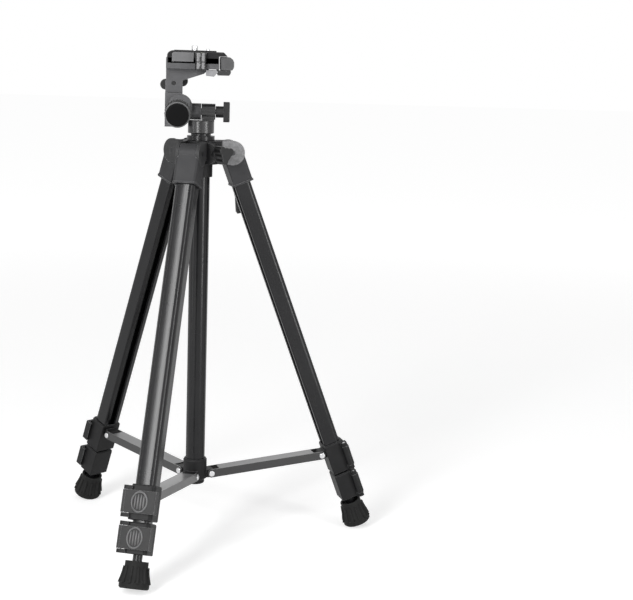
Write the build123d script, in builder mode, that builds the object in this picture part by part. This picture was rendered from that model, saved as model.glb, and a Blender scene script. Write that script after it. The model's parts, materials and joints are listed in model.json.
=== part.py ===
"""Small camera tripod, standing open.

Three folding legs of nested aluminium channel with flip locks hang on a moulded shoulder and are
spread by three sheet-metal braces from a hub that slides on the guide tube.  A geared centre column,
raised by a folding crank, carries a pan-and-tilt head with a side flip and a quick-release plate.

Everything is modelled about the column axis with the floor at Z = 0, X to the operator's right and
-Y towards the operator.  The last step moves it so that the origin is the middle of its footprint.
All lengths are in millimetres and all angles in degrees.
"""

import os
from math import asin, atan2, cos, degrees, pi, radians, sin, sqrt

from build123d import *

# ---------------------------------------------------------------- fits
running = 0.05  # shaft in a hole, on the radius
sliding = 0.15  # tube in a sleeve, on each side
seat = 0.03  # pieces of one body that sit in each other, on each side
gap = 0.35  # pieces that pass each other

# ---------------------------------------------------------------- leg geometry
leg_names = ["front", "right", "left"]
first_leg_azimuth = -107.86
shoulder_radius = 32.0  # column axis to a leg's pivot
leg_length = 442.2  # pivot to sole with the leg closed
leg_lean = 20.64
section_travel = 285.0  # each of the two inner leg sections

upper_clamp_rise = 101.2  # sole to the top of the upper clamp with the leg closed
brace_pin_drop = 9.5  # below the top of the upper clamp
brace_pin_inward = 15.0  # from the leg's axis towards the column
brace_rise = 14.02762  # from the hub's pin up to the leg's

# ---------------------------------------------------------------- leg sections
upper_width, upper_depth, upper_corner = 21.0, 18.0, 5.0
middle_width, middle_depth, middle_corner = 17.0, 15.0, 4.0
tube_wall = 1.2
channel_mouth = 11.0
lower_radius, lower_wall = 4.8, 1.0

cap_width, cap_front, cap_back = 24.6, 11.4, 10.6
cap_length = 34.0  # below the pivot
cap_pocket_top = 15.5  # the upper tube stops this far below the pivot
tongue_width, tongue_radius = 18.4, 12.2
cap_lip, cap_lip_height = 0.8, 1.6

clamp_width, clamp_front, clamp_back = 25.2, 12.1, 10.2
upper_clamp_height = 35.0
clamp_spacing = 2.0  # between the two clamps with the leg closed
lower_clamp_height = 31.0
lower_clamp_width = 24.0
tube_in_clamp = 18.0  # length of tube fixed in the top of its clamp

lever_thickness, lever_height, lever_tail = 2.8, 23.0, 5.0
lever_pin_radius = 1.5
lever_barrel_radius = 3.3
lever_ear_height = 4.0
lever_range = 110.0

foot_height, foot_radius, foot_top_radius = 27.0, 15.0, 11.5
foot_grooves, foot_groove_radius = 16, 0.9
foot_sole = 4.0  # rubber below the end of the lower tube

# ---------------------------------------------------------------- braces and hub
brace_width, brace_depth, brace_wall = 16.5, 8.0, 1.2
brace_end_radius = 4.4
brace_web_setback = 9.0  # the web stops this far from each pin
rivet_radius, rivet_head_radius, rivet_head_height = 2.0, 3.2, 1.1
lug_radius = 4.4

guide_radius, guide_wall = 10.25, 1.5
guide_below_hub = 5.7865
hub_radius = 12.65
hub_above_pin, hub_below_pin = 17.0, 5.0

# ---------------------------------------------------------------- shoulder
shoulder_above_pivot, shoulder_below_pivot = 12.2, 12.0
core_radius = 18.6
ear_thickness, ear_radius = 3.0, 12.8
pivot_pin_radius = 2.5
guide_collar_radius, guide_collar_height = 12.75, 13.5
gear_housing_radius = 11.0
gear_housing_front, gear_housing_back = 19.0, 15.0
shaft_boss_radius, shaft_boss_back = 5.6, 26.0
lock_boss_radius, lock_boss_reach = 7.5, 30.0

# ---------------------------------------------------------------- centre column and its drive
column_radius, column_bore = 8.3, 4.2
column_above_guide_end = 17.0
rack_module = 1.0
rack_tip = 7.6  # column axis to the tips of the rack's teeth
pinion_teeth = 12
crank_turns = 6  # from the bottom of the column's travel to its top
backlash = 0.30
pinion_width, pinion_offset = 8.0, 6.0
shaft_radius = 2.4

crank_root, crank_plane = 31.0, 54.0  # along the shaft from the column's axis
crank_arm_radius, crank_arm_length = 1.6, 48.0
crank_hang = 15.6  # the arm's lean from straight down, towards the operator's right
crank_knob_length, crank_knob_radius, crank_knob_top_radius = 22.0, 7.0, 4.4

lock_knob_radius, lock_knob_height, lock_knob_lobes = 10.5, 10.0, 3
lock_screw_radius = 2.4
lock_knob_turn = 180.0

# ---------------------------------------------------------------- pan and tilt head, above the shoulder's top
column_collar_radius, column_collar_top = 14.5, 5.0
column_neck_radius, column_neck_top = 10.5, 7.2
pan_base_radius, pan_base_top = 13.7, 21.0
pan_stud_radius = 5.0
tilt_axis = 30.0
barrel_radius = 8.4
barrel_left, barrel_split, barrel_right = -12.0, 0.0, 14.6
tilt_shaft_radius = 3.6
tilt_boss_radius, tilt_boss_right = 6.0, 23.0
tilt_knob_thickness, tilt_knob_height, tilt_knob_width = 6.6, 21.0, 9.0

arm_left, arm_right = -37.7, -19.9
arm_bottom, arm_split = 14.0, 49.0  # heights of the tilt arm's block
arm_front, arm_rear = -11.0, 9.0
handle_x, handle_z = -22.0, 35.0
handle_boss_radius, handle_boss_front = 12.4, -15.0
handle_rod_radius, handle_length = 4.2, 175.0
grip_length, grip_radius, grip_neck_radius = 88.0, 12.0, 9.0
grip_cap_radius, grip_cap_height = 10.5, 5.0
tilt_down, tilt_up = 30.0, 80.0

flip_x, flip_z = -28.9, 58.7
flip_plate_front, flip_plate_thickness, flip_foot_corner = -6.5, 4.2, 1.5
flip_screw_radius = 2.5
flip_knob_radius, flip_knob_height = 14.6, 9.0
flip_range = 90.0

# ---------------------------------------------------------------- camera platform and quick-release plate
platform_left, platform_right = -37.0, 27.0
platform_front, platform_back = -16.0, 32.0
platform_bottom, platform_floor = 74.0, 79.0
platform_wall = 3.4
platform_rim = 85.0
plate_top = 92.0
plate_margin = 0.4
plate_depth_slope = 2.0
plate_lift = 30.0
pad_recess, pad_thickness, pad_border = 1.0, 1.6, 4.0
camera_thread_radius, camera_thread_length, camera_thread_tip = 3.175, 4.0, 0.6
camera_screw_x, camera_neck_radius = -8.0, 2.4
camera_screw_head_radius, camera_screw_head_height = 7.5, 3.0
plate_pin_radius, plate_pin_spacing, plate_pin_height = 1.8, 14.0, 2.0
plate_lever_left, plate_lever_length, plate_lever_height = 19.0, 15.5, 10.0
plate_lever_barrel = 4.0
plate_lever_range = 35.0

# ---------------------------------------------------------------- worked-out positions
pivot_height = leg_length * cos(radians(leg_lean)) + foot_radius * sin(radians(leg_lean))
shoulder_top = pivot_height + shoulder_above_pivot
shoulder_bottom = pivot_height - shoulder_below_pivot
hub_pin_radius = shoulder_radius - brace_pin_inward
ear_root_depth = sqrt(ear_radius**2 - cap_back**2)  # clear of the cap's inner corner with the leg folded
cap_corner_drop = ear_root_depth + gap

upper_clamp_top = leg_length - upper_clamp_rise
brace_pin_along = upper_clamp_top + brace_pin_drop  # down the leg from its pivot
brace_pin_reach = (
    shoulder_radius
    + brace_pin_along * sin(radians(leg_lean))
    - brace_pin_inward * cos(radians(leg_lean))
)
brace_pin_height = (
    pivot_height
    - brace_pin_along * cos(radians(leg_lean))
    - brace_pin_inward * sin(radians(leg_lean))
)
brace_length = sqrt(brace_rise**2 + (brace_pin_reach - hub_pin_radius) ** 2)
brace_angle = degrees(asin(brace_rise / brace_length))
hub_pin_height = brace_pin_height - brace_rise
guide_bottom = hub_pin_height - hub_below_pin - guide_below_hub
column_bottom = guide_bottom + column_above_guide_end
hub_travel = pivot_height - brace_pin_along + brace_length - hub_pin_height

pinion_radius = rack_module * pinion_teeth / 2
rack_pitch_line = rack_tip - rack_module
shaft_offset = rack_pitch_line + pinion_radius
column_travel = crank_turns * 2 * pi * pinion_radius

crank_azimuth = first_leg_azimuth + 180.0
lock_azimuth = first_leg_azimuth + 60.0

tilt_height = shoulder_top + tilt_axis
handle_height = shoulder_top + handle_z
flip_height = shoulder_top + flip_z
plate_lever_x = plate_lever_left + plate_lever_barrel
plate_lever_y = platform_back - platform_wall - gap - plate_lever_barrel
brace_inner_width = brace_width - 2 * brace_wall
lug_width = brace_inner_width - 2 * gap
rivet_seat = brace_width / 2 + gap / 2  # under a rivet's head, from the brace's middle plane

pieces = {}


def keep(name, part):
    """Label a finished piece and keep it for export under its name."""
    part.label = name
    pieces[name] = part


def radial(azimuth, distance, height):
    """A point at a distance from the column's axis."""
    return Vector(distance * cos(radians(azimuth)), distance * sin(radians(azimuth)), height)


class Leg:
    """Axes of one leg: across to the right seen from outside, inward to the column, up the leg."""

    def __init__(self, name, azimuth):
        self.name = name
        self.azimuth = azimuth
        out = radial(azimuth, 1, 0)
        self.pivot = radial(azimuth, shoulder_radius, pivot_height)
        self.across = Vector(-out.Y, out.X, 0)
        self.up = Vector(0, 0, cos(radians(leg_lean))) - out * sin(radians(leg_lean))
        self.inward = self.up.cross(self.across)

    def section(self, along):
        """The plane across the leg, at a distance below its pivot, with Y towards the column."""
        return Plane(self.pivot - self.up * along, x_dir=self.across, z_dir=self.up)

    def side(self, across=0.0, along=0.0):
        """The plane of the leg's side view, with X towards the column and Y up the leg."""
        origin = self.pivot + self.across * across - self.up * along
        return Plane(origin, x_dir=self.inward, z_dir=self.across)


legs = [Leg(name, first_leg_azimuth + 120.0 * i) for i, name in enumerate(leg_names)]


# ---------------------------------------------------------------- legs
def rounded_box(width, front, back, corner, back_corner=1.2, grow=0.0):
    """A leg section's outline: large corners on the outside, small ones towards the column."""
    with BuildSketch() as outline:
        with Locations((0, (back - front) / 2)):
            Rectangle(width + 2 * grow, front + back + 2 * grow)
        fillet(outline.vertices().group_by(Axis.Y)[0], corner + grow)
        fillet(outline.vertices().group_by(Axis.Y)[-1], back_corner + grow)
    return outline.sketch


def channel_tube(plane, length, width, depth, corner):
    """A lipped aluminium channel, open towards the column, hanging down from a plane."""
    with BuildPart() as tube:
        with BuildSketch(plane):
            add(rounded_box(width, depth / 2, depth / 2, corner))
            inner = rounded_box(width, depth / 2, depth / 2, corner, 1.25, -tube_wall)
            add(inner, mode=Mode.SUBTRACT)
            with Locations((0, depth / 2)):
                Rectangle(channel_mouth, 3 * tube_wall, mode=Mode.SUBTRACT)
        extrude(amount=-length)
    return tube.part


def leg_cap(leg):
    """The moulded leg top: a sleeve on the tube and a tongue that turns on the shoulder's pin."""
    open_angle = 47.0  # the pin's way out of its half-round seat, above straight inward
    with BuildPart() as cap:
        with BuildSketch(leg.section(cap_length)):
            add(rounded_box(cap_width, cap_front, cap_back, 3.0))
        extrude(amount=cap_length)
        with BuildSketch(leg.section(cap_length)):
            add(rounded_box(cap_width, cap_front, cap_back, 3.0, grow=cap_lip))
        extrude(amount=cap_lip_height)
        with BuildSketch(leg.side(-tongue_width / 2)):
            Circle(tongue_radius)
        extrude(amount=tongue_width)
        for side in (-1, 1):
            with BuildSketch(leg.side(side * tongue_width / 2)):
                Circle(ear_radius + gap)
            extrude(amount=side * cap_width / 2, mode=Mode.SUBTRACT)
        with BuildSketch(leg.side(-tongue_width / 2)):
            with Locations((0, 0)):
                Circle(pivot_pin_radius + running)
            with Locations(Location((0, 0), open_angle)):
                Rectangle(
                    3 * tongue_radius, 4 * tongue_radius, align=(Align.MIN, Align.CENTER)
                )
        extrude(amount=tongue_width, mode=Mode.SUBTRACT)
        with BuildSketch(leg.section(cap_length)):
            half = upper_depth / 2
            add(rounded_box(upper_width, half, half, upper_corner, grow=seat))
        extrude(amount=cap_length - cap_pocket_top, mode=Mode.SUBTRACT)
    return cap.part


def lever_pin_place(width):
    """Where a flip lever's pin stands, across the leg and inward."""
    return (-width / 2 - gap - lever_barrel_radius, -clamp_front + 1.2)


def clamp(leg, top, height, width, upper_section, lower_section):
    """A clamp: fixed round the tube above it, sliding on the tube below, with ears for its lever."""
    pin_x, pin_y = lever_pin_place(width)
    lever_top = top + (height - lever_height) / 2
    with BuildPart() as body:
        with BuildSketch(leg.section(top)):
            add(rounded_box(width, clamp_front, clamp_back, 4.5))
        extrude(amount=-height)
        ends = body.faces().sort_by(Axis(leg.pivot, leg.up))
        chamfer(ends[-1].edges(), 1.4, 0.8)
        chamfer(ends[0].edges(), 0.8)
        for start in (lever_top - lever_ear_height, lever_top + lever_height):
            with BuildSketch(leg.section(start)):
                with Locations((pin_x, pin_y)):
                    Circle(lever_barrel_radius)
                with Locations((pin_x, pin_y + lever_barrel_radius)):
                    Rectangle(
                        -pin_x - width / 2 + 3,
                        2 * lever_barrel_radius,
                        align=(Align.MIN, Align.MAX),
                    )
            extrude(amount=-lever_ear_height)
        with BuildSketch(leg.section(top)):
            add(upper_section(seat))
        extrude(amount=-tube_in_clamp, mode=Mode.SUBTRACT)
        with BuildSketch(leg.section(top)):
            add(lower_section(sliding))
        extrude(amount=-height, mode=Mode.SUBTRACT)
        with BuildSketch(leg.section(top)):
            with Locations((pin_x, pin_y)):
                Circle(lever_pin_radius + seat)
        extrude(amount=-height, mode=Mode.SUBTRACT)
    return body.part


def upper_outline(grow):
    return rounded_box(upper_width, upper_depth / 2, upper_depth / 2, upper_corner, grow=grow)


def middle_outline(grow):
    return rounded_box(middle_width, middle_depth / 2, middle_depth / 2, middle_corner, grow=grow)


def lower_outline(grow):
    with BuildSketch() as outline:
        Circle(lower_radius + grow)
    return outline.sketch


def upper_clamp(leg):
    """The upper clamp also carries the lug that the brace is riveted to."""
    body = clamp(leg, upper_clamp_top, upper_clamp_height, clamp_width, upper_outline, middle_outline)
    with BuildPart() as whole:
        add(body)
        with BuildSketch(leg.side(-lug_width / 2, brace_pin_along)):
            with Locations((brace_pin_inward, 0)):
                Circle(lug_radius)
                Rectangle(
                    brace_pin_inward - clamp_back + 0.6, 2 * lug_radius, align=(Align.MAX, Align.CENTER)
                )
            with Locations((brace_pin_inward, 0)):
                Circle(rivet_radius + seat, mode=Mode.SUBTRACT)
        extrude(amount=lug_width)
    return whole.part


def flip_lever(leg, top, height, width):
    """A lever hinged beside its clamp and lying across the clamp's front."""
    pin_x, pin_y = lever_pin_place(width)
    lever_top = top + (height - lever_height) / 2 + gap
    lever_span = lever_height - 2 * gap
    inner = -clamp_front - gap
    with BuildPart() as lever:
        with BuildSketch(leg.section(lever_top)):
            with Locations((pin_x, pin_y)):
                Circle(lever_barrel_radius)
            with Locations((pin_x, inner)):
                Rectangle(width / 2 - pin_x + 1.0, lever_thickness, align=(Align.MIN, Align.MAX))
            with Locations((pin_x - lever_barrel_radius + 0.4, inner)):
                Rectangle(lever_barrel_radius + 1.2, lever_thickness - 1.0, align=(Align.MIN, Align.MAX))
            with Locations((width / 2 + gap, inner - lever_thickness)):
                Rectangle(lever_thickness, lever_tail + lever_thickness, align=(Align.MIN, Align.MIN))
        extrude(amount=-lever_span)
        with BuildSketch(leg.section(lever_top)):
            with Locations((pin_x, pin_y)):
                Circle(lever_pin_radius + running)
        extrude(amount=-lever_span, mode=Mode.SUBTRACT)
    return lever.part


def lever_pin(leg, top, height, width):
    """The steel pin that a flip lever turns on."""
    with BuildPart() as pin:
        with BuildSketch(leg.section(top + (height - lever_height) / 2 - lever_ear_height)):
            with Locations(lever_pin_place(width)):
                Circle(lever_pin_radius)
        extrude(amount=-lever_height - 2 * lever_ear_height)
    return pin.part


def rivet(plane):
    """A headed rivet through a brace's two cheeks, about its middle plane."""
    with BuildPart() as pin:
        with BuildSketch(plane.offset(-rivet_seat)):
            Circle(rivet_radius)
        extrude(amount=2 * rivet_seat)
        for side in (-1, 1):
            with BuildSketch(plane.offset(side * rivet_seat)):
                Circle(rivet_head_radius)
            extrude(amount=side * rivet_head_height)
        heads = pin.edges().filter_by(GeomType.CIRCLE).group_by(Axis(plane.origin, plane.z_dir))
        fillet([heads[0], heads[-1]], rivet_head_height * 0.7)
    return pin.part


def lower_tube(leg):
    """The innermost leg section, a round tube that ends in the foot."""
    top = cap_pocket_top + 2 * clamp_spacing + 20.0
    with BuildPart() as tube:
        with BuildSketch(leg.section(top)):
            Circle(lower_radius)
            Circle(lower_radius - lower_wall, mode=Mode.SUBTRACT)
        extrude(amount=top - (leg_length - foot_sole))
    return tube.part


def foot(leg):
    """A bell-shaped rubber foot with grooves round it and an open rim at the top."""
    base = leg.side(0, leg_length)
    with BuildPart() as rubber:
        with BuildSketch(base):
            with BuildLine():
                Polyline(
                    (0, 0),
                    (foot_radius - 1.5, 0),
                    (foot_radius, 1.5),
                    (foot_radius, 5),
                )
                Spline(
                    (foot_radius, 5),
                    (foot_top_radius + 1.0, foot_height * 0.55),
                    (foot_top_radius, foot_height),
                    tangents=((-0.2, 1), (0, 1)),
                )
                Polyline(
                    (foot_top_radius, foot_height),
                    (foot_top_radius - 2.0, foot_height),
                    (foot_top_radius - 2.6, foot_height - 4),
                    (0, foot_height - 4),
                    (0, 0),
                )
            make_face()
        revolve(axis=Axis(base.origin, base.y_dir))
        with BuildSketch(leg.section(leg_length - 6)):
            with PolarLocations(foot_radius, foot_grooves):
                Circle(foot_groove_radius + 0.3)
        extrude(amount=foot_height - 10, mode=Mode.SUBTRACT)
        with BuildSketch(leg.section(leg_length - foot_sole)):
            Circle(lower_radius + seat)
        extrude(amount=foot_height, mode=Mode.SUBTRACT)
    return rubber.part


def brace(leg):
    """A sheet-metal channel, open downwards, between the hub's lug and the leg's lug."""
    out = radial(leg.azimuth, 1, 0)
    along = out * cos(radians(brace_angle)) + Vector(0, 0, sin(radians(brace_angle)))
    middle = radial(leg.azimuth, hub_pin_radius, hub_pin_height)
    plane = Plane(middle - leg.across * brace_width / 2, x_dir=along, z_dir=along.cross(leg.across) * -1)
    side = Plane(middle + leg.across * brace_width / 2, x_dir=along, z_dir=leg.across * -1)
    if side.y_dir.Z < 0:
        side = Plane(middle - leg.across * brace_width / 2, x_dir=along, z_dir=leg.across)
    half = brace_depth / 2
    with BuildPart() as bar:
        with BuildSketch(side):
            with Locations((brace_length / 2, 0)):
                SlotCenterToCenter(brace_length, 2 * brace_end_radius)
        extrude(amount=brace_width)
        with BuildSketch(side.offset(brace_wall)):
            with Locations((brace_length / 2, -brace_wall - brace_depth)):
                Rectangle(brace_length + 4 * half, 2 * half + 2 * brace_depth)
            for x in (0, brace_length):
                with Locations((x, 0)):
                    Rectangle(2 * brace_web_setback, 4 * half)
        extrude(amount=brace_inner_width, mode=Mode.SUBTRACT)
        with BuildSketch(side):
            for x in (0, brace_length):
                with Locations((x, 0)):
                    Circle(rivet_radius + running)
        extrude(amount=brace_width, mode=Mode.SUBTRACT)
    return bar.part


for leg in legs:
    name = leg.name
    lower_clamp_top = upper_clamp_top + upper_clamp_height + clamp_spacing
    keep(f"{name}_leg_cap", leg_cap(leg))
    upper_length = upper_clamp_top + tube_in_clamp - cap_pocket_top
    upper = channel_tube(leg.section(cap_pocket_top), upper_length, upper_width, upper_depth, upper_corner)
    keep(f"{name}_upper_tube", upper)
    keep(f"{name}_upper_clamp", upper_clamp(leg))
    with BuildPart() as pins:
        add(rivet(leg.side(0, brace_pin_along).offset(0).shift_origin(
            leg.side(0, brace_pin_along).from_local_coords((brace_pin_inward, 0, 0)))))
        add(lever_pin(leg, upper_clamp_top, upper_clamp_height, clamp_width))
    keep(f"{name}_leg_pins", pins.part)
    keep(f"{name}_upper_lever", flip_lever(leg, upper_clamp_top, upper_clamp_height, clamp_width))

    middle_top = cap_pocket_top + 2 * clamp_spacing + 10.0
    middle_length = lower_clamp_top + tube_in_clamp - middle_top
    middle = channel_tube(leg.section(middle_top), middle_length, middle_width, middle_depth, middle_corner)
    keep(f"{name}_middle_tube", middle)
    lower_size = (lower_clamp_top, lower_clamp_height, lower_clamp_width)
    keep(f"{name}_lower_clamp", clamp(leg, *lower_size, middle_outline, lower_outline))
    keep(f"{name}_lower_lever_pin", lever_pin(leg, *lower_size))
    keep(f"{name}_lower_lever", flip_lever(leg, *lower_size))
    keep(f"{name}_lower_tube", lower_tube(leg))
    keep(f"{name}_foot", foot(leg))
    keep(f"{name}_brace", brace(leg))


# ---------------------------------------------------------------- column drive
across_x = Vector(sin(radians(crank_azimuth)), -cos(radians(crank_azimuth)), 0)  # towards the shaft
shaft_direction = radial(crank_azimuth, 1, 0)
shaft_origin = across_x * shaft_offset + Vector(0, 0, pivot_height)


def shaft_plane(along):
    """The plane across the crank's shaft, with X to the operator's right and Y up."""
    return Plane(shaft_origin + shaft_direction * along, x_dir=across_x * -1, z_dir=shaft_direction)


def rack_plane():
    """The plane of the rack's side view: X from the column's axis to the pinion, Y up."""
    return Plane((0, 0, pivot_height), x_dir=across_x, z_dir=shaft_direction * -1)


# ---------------------------------------------------------------- shoulder and guide tube
with BuildPart() as shoulder:
    with BuildSketch(Plane.XY.offset(shoulder_bottom)):
        Circle(core_radius)
    extrude(amount=shoulder_top - shoulder_bottom)
    with BuildSketch(Plane.XY.offset(shoulder_bottom)):
        Circle(guide_collar_radius)
    extrude(amount=-guide_collar_height)
    with BuildSketch(shaft_plane(-gear_housing_front)):
        Circle(gear_housing_radius)
    extrude(amount=gear_housing_front + gear_housing_back)
    with BuildSketch(shaft_plane(0)):
        Circle(shaft_boss_radius)
    extrude(amount=shaft_boss_back)
    lock_plane = Plane((0, 0, pivot_height), x_dir=Vector(0, 0, 1), z_dir=radial(lock_azimuth, 1, 0))
    with BuildSketch(lock_plane):
        Circle(lock_boss_radius)
    extrude(amount=lock_boss_reach)
    # room for the inner corners of the leg caps with the legs folded
    for leg in legs:
        below = Plane(
            radial(leg.azimuth, 0, pivot_height - cap_corner_drop),
            x_dir=radial(leg.azimuth, 1, 0),
            z_dir=(0, 0, -1),
        )
        with BuildSketch(below):
            with Locations((shoulder_radius - cap_back - gap, 0)):
                Rectangle(3 * cap_back, cap_width + 2 * gap, align=(Align.MIN, Align.CENTER))
        extrude(amount=2 * gear_housing_radius, mode=Mode.SUBTRACT)
    for leg in legs:
        upright = Plane(
            radial(leg.azimuth, 0, pivot_height), x_dir=radial(leg.azimuth, 1, 0), z_dir=leg.across * -1
        )
        for side in (-1, 1):
            with BuildSketch(upright.offset(side * (tongue_width / 2 + gap))):
                with Locations((shoulder_radius, 0)):
                    Circle(ear_radius)
                with Locations((shoulder_radius, -ear_root_depth)):
                    Rectangle(
                        shoulder_radius - core_radius / 2,
                        shoulder_above_pivot + ear_root_depth,
                        align=(Align.MAX, Align.MIN),
                    )
            extrude(amount=side * ear_thickness)
    # the legs' tongues turn between the ears
    for leg in legs:
        with BuildSketch(Plane(leg.pivot, x_dir=radial(leg.azimuth, 1, 0), z_dir=leg.across)):
            Circle(tongue_radius + gap)
        extrude(amount=tongue_width / 2 + gap, both=True, mode=Mode.SUBTRACT)
        with BuildSketch(Plane(leg.pivot, x_dir=radial(leg.azimuth, 1, 0), z_dir=leg.across)):
            Circle(pivot_pin_radius + seat)
        extrude(amount=cap_width / 2 + 1, both=True, mode=Mode.SUBTRACT)
    with BuildSketch(Plane.XY.offset(shoulder_top)):
        Circle(column_radius + sliding)
    extrude(amount=-60, mode=Mode.SUBTRACT)
    with BuildSketch(Plane.XY.offset(shoulder_bottom - guide_collar_height)):
        Circle(guide_radius + seat)
    extrude(amount=guide_collar_height, mode=Mode.SUBTRACT)
    with BuildSketch(shaft_plane(pinion_offset - pinion_width / 2 - gap)):
        Circle(pinion_radius + rack_module + gap)
    extrude(amount=pinion_width + 2 * gap, mode=Mode.SUBTRACT)
    with BuildSketch(shaft_plane(-2.5)):
        Circle(shaft_radius + running)
    extrude(amount=60, mode=Mode.SUBTRACT)
    with BuildSketch(lock_plane):
        Circle(lock_screw_radius + running)
    extrude(amount=60, mode=Mode.SUBTRACT)
keep("shoulder", shoulder.part)

with BuildPart() as shoulder_pins:
    for leg in legs:
        with BuildSketch(Plane(leg.pivot, x_dir=radial(leg.azimuth, 1, 0), z_dir=leg.across)):
            Circle(pivot_pin_radius)
        extrude(amount=tongue_width / 2 + gap + ear_thickness, both=True)
keep("shoulder_pins", shoulder_pins.part)

with BuildPart() as guide_tube:
    with BuildSketch(Plane.XY.offset(guide_bottom + 4)):
        Circle(guide_radius)
        Circle(guide_radius - guide_wall, mode=Mode.SUBTRACT)
    extrude(amount=shoulder_bottom - guide_bottom - 4 - seat)
keep("guide_tube", guide_tube.part)

with BuildPart() as guide_end_cap:
    with BuildSketch(Plane.XY.offset(guide_bottom)):
        Circle(guide_radius)
    extrude(amount=4 - seat)
    fillet(guide_end_cap.edges().group_by(Axis.Z)[0], 1.5)
    with BuildSketch(Plane.XY.offset(guide_bottom + 4 - seat)):
        Circle(guide_radius - guide_wall - seat)
    extrude(amount=8)
keep("guide_end_cap", guide_end_cap.part)

# ---------------------------------------------------------------- spreader hub
with BuildPart() as spreader_hub:
    with BuildSketch(Plane.XY.offset(hub_pin_height - hub_below_pin)):
        Circle(hub_radius)
    extrude(amount=hub_above_pin + hub_below_pin)
    chamfer(spreader_hub.edges().group_by(Axis.Z)[-1], 1.6, 1.0)
    for leg in legs:
        origin = radial(leg.azimuth, hub_pin_radius, hub_pin_height)
        with BuildSketch(Plane(origin - leg.across * lug_width / 2, x_dir=radial(leg.azimuth, 1, 0), z_dir=leg.across)):
            Circle(lug_radius)
            Rectangle(hub_pin_radius, 2 * lug_radius, align=(Align.MAX, Align.CENTER))
        extrude(amount=lug_width)
        with BuildSketch(Plane(origin, x_dir=radial(leg.azimuth, 1, 0), z_dir=leg.across)):
            Circle(rivet_radius + seat)
        extrude(amount=lug_width, both=True, mode=Mode.SUBTRACT)
    with BuildSketch(Plane.XY.offset(hub_pin_height - hub_below_pin)):
        Circle(guide_radius + sliding)
    extrude(amount=hub_above_pin + hub_below_pin, mode=Mode.SUBTRACT)
keep("spreader_hub", spreader_hub.part)

with BuildPart() as hub_pins:
    for leg in legs:
        origin = radial(leg.azimuth, hub_pin_radius, hub_pin_height)
        add(rivet(Plane(origin, x_dir=radial(leg.azimuth, 1, 0), z_dir=leg.across)))
keep("hub_pins", hub_pins.part)

# ---------------------------------------------------------------- centre column with its rack
tooth_pitch = pi * rack_module
rack_length = column_travel + 4 * tooth_pitch
rack_tooth_count = int(rack_length // tooth_pitch) + 1
pressure = 20.0

with BuildPart() as centre_column:
    with BuildSketch(Plane.XY.offset(column_bottom)):
        Circle(column_radius)
    extrude(amount=shoulder_top + column_collar_top - column_bottom)
    with BuildSketch(Plane.XY.offset(shoulder_top + gap)):
        Circle(column_collar_radius)
    extrude(amount=column_collar_top - gap)
    with BuildSketch(Plane.XY.offset(shoulder_top + column_collar_top)):
        Circle(column_neck_radius)
    extrude(amount=column_neck_top - column_collar_top)
    with BuildSketch(Plane.XY.offset(shoulder_top + column_neck_top)):
        Circle(pan_stud_radius)
    extrude(amount=pan_base_top - column_neck_top - 4)
    # the rack: a flat with a gap between each two teeth
    with BuildSketch(rack_plane()):
        half_root = tooth_pitch / 4 + backlash / 4 - 1.25 * rack_module * sin(radians(pressure)) / cos(radians(pressure))
        half_tip = tooth_pitch / 4 + backlash / 4 + rack_module * sin(radians(pressure)) / cos(radians(pressure))
        root = rack_pitch_line - 1.25 * rack_module
        with Locations((rack_tip, 2 * tooth_pitch)):
            Rectangle(column_radius, rack_length, align=(Align.MIN, Align.MAX))
        for i in range(rack_tooth_count):
            y = (2 - i) * tooth_pitch
            with BuildLine():
                Polyline(
                    (root, y - half_root),
                    (rack_tip + 0.01, y - half_tip),
                    (rack_tip + 0.01, y + half_tip),
                    (root, y + half_root),
                    close=True,
                )
            make_face()
    extrude(amount=column_radius, both=True, mode=Mode.SUBTRACT)
    with BuildSketch(Plane.XY.offset(column_bottom)):
        Circle(column_bore)
    extrude(amount=shoulder_top - column_bottom - 10, mode=Mode.SUBTRACT)
keep("centre_column", centre_column.part)

with BuildPart() as crank_shaft:
    with BuildSketch(shaft_plane(pinion_offset - pinion_width / 2)):
        Circle(pinion_radius - 1.25 * rack_module)
        tooth_half_angle = degrees((tooth_pitch / 4 - backlash / 4) / pinion_radius)
        root_radius = pinion_radius - 1.25 * rack_module
        tip_radius = pinion_radius + rack_module * 0.85
        for i in range(pinion_teeth):
            middle = 360.0 / pinion_teeth * i
            flank = [
                (root_radius - 0.3, tooth_half_angle * 1.45),
                (pinion_radius, tooth_half_angle),
                (tip_radius, tooth_half_angle * 0.42),
            ]
            right = [(r * cos(radians(middle - a)), r * sin(radians(middle - a))) for r, a in flank]
            left = [(r * cos(radians(middle + a)), r * sin(radians(middle + a))) for r, a in reversed(flank)]
            with BuildLine():
                Polyline(*right, *left, close=True)
            make_face()
    extrude(amount=pinion_width)
    with BuildSketch(shaft_plane(-2.5 + gap)):
        Circle(shaft_radius)
    extrude(amount=crank_root + 3 + 2.5 - gap)
keep("crank_shaft", crank_shaft.part)

# ---------------------------------------------------------------- crank and lock knob
hang = Vector(0, 0, -cos(radians(crank_hang))) + across_x * sin(radians(crank_hang))
crank_start = shaft_origin + shaft_direction * crank_root
crank_side = Plane(crank_start, x_dir=hang, z_dir=hang.cross(shaft_direction))
crank_swing = crank_plane - crank_root  # the arm leans this far outwards on its way to the knob
knob_pivot = crank_start + hang * crank_arm_length + shaft_direction * crank_swing

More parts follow.
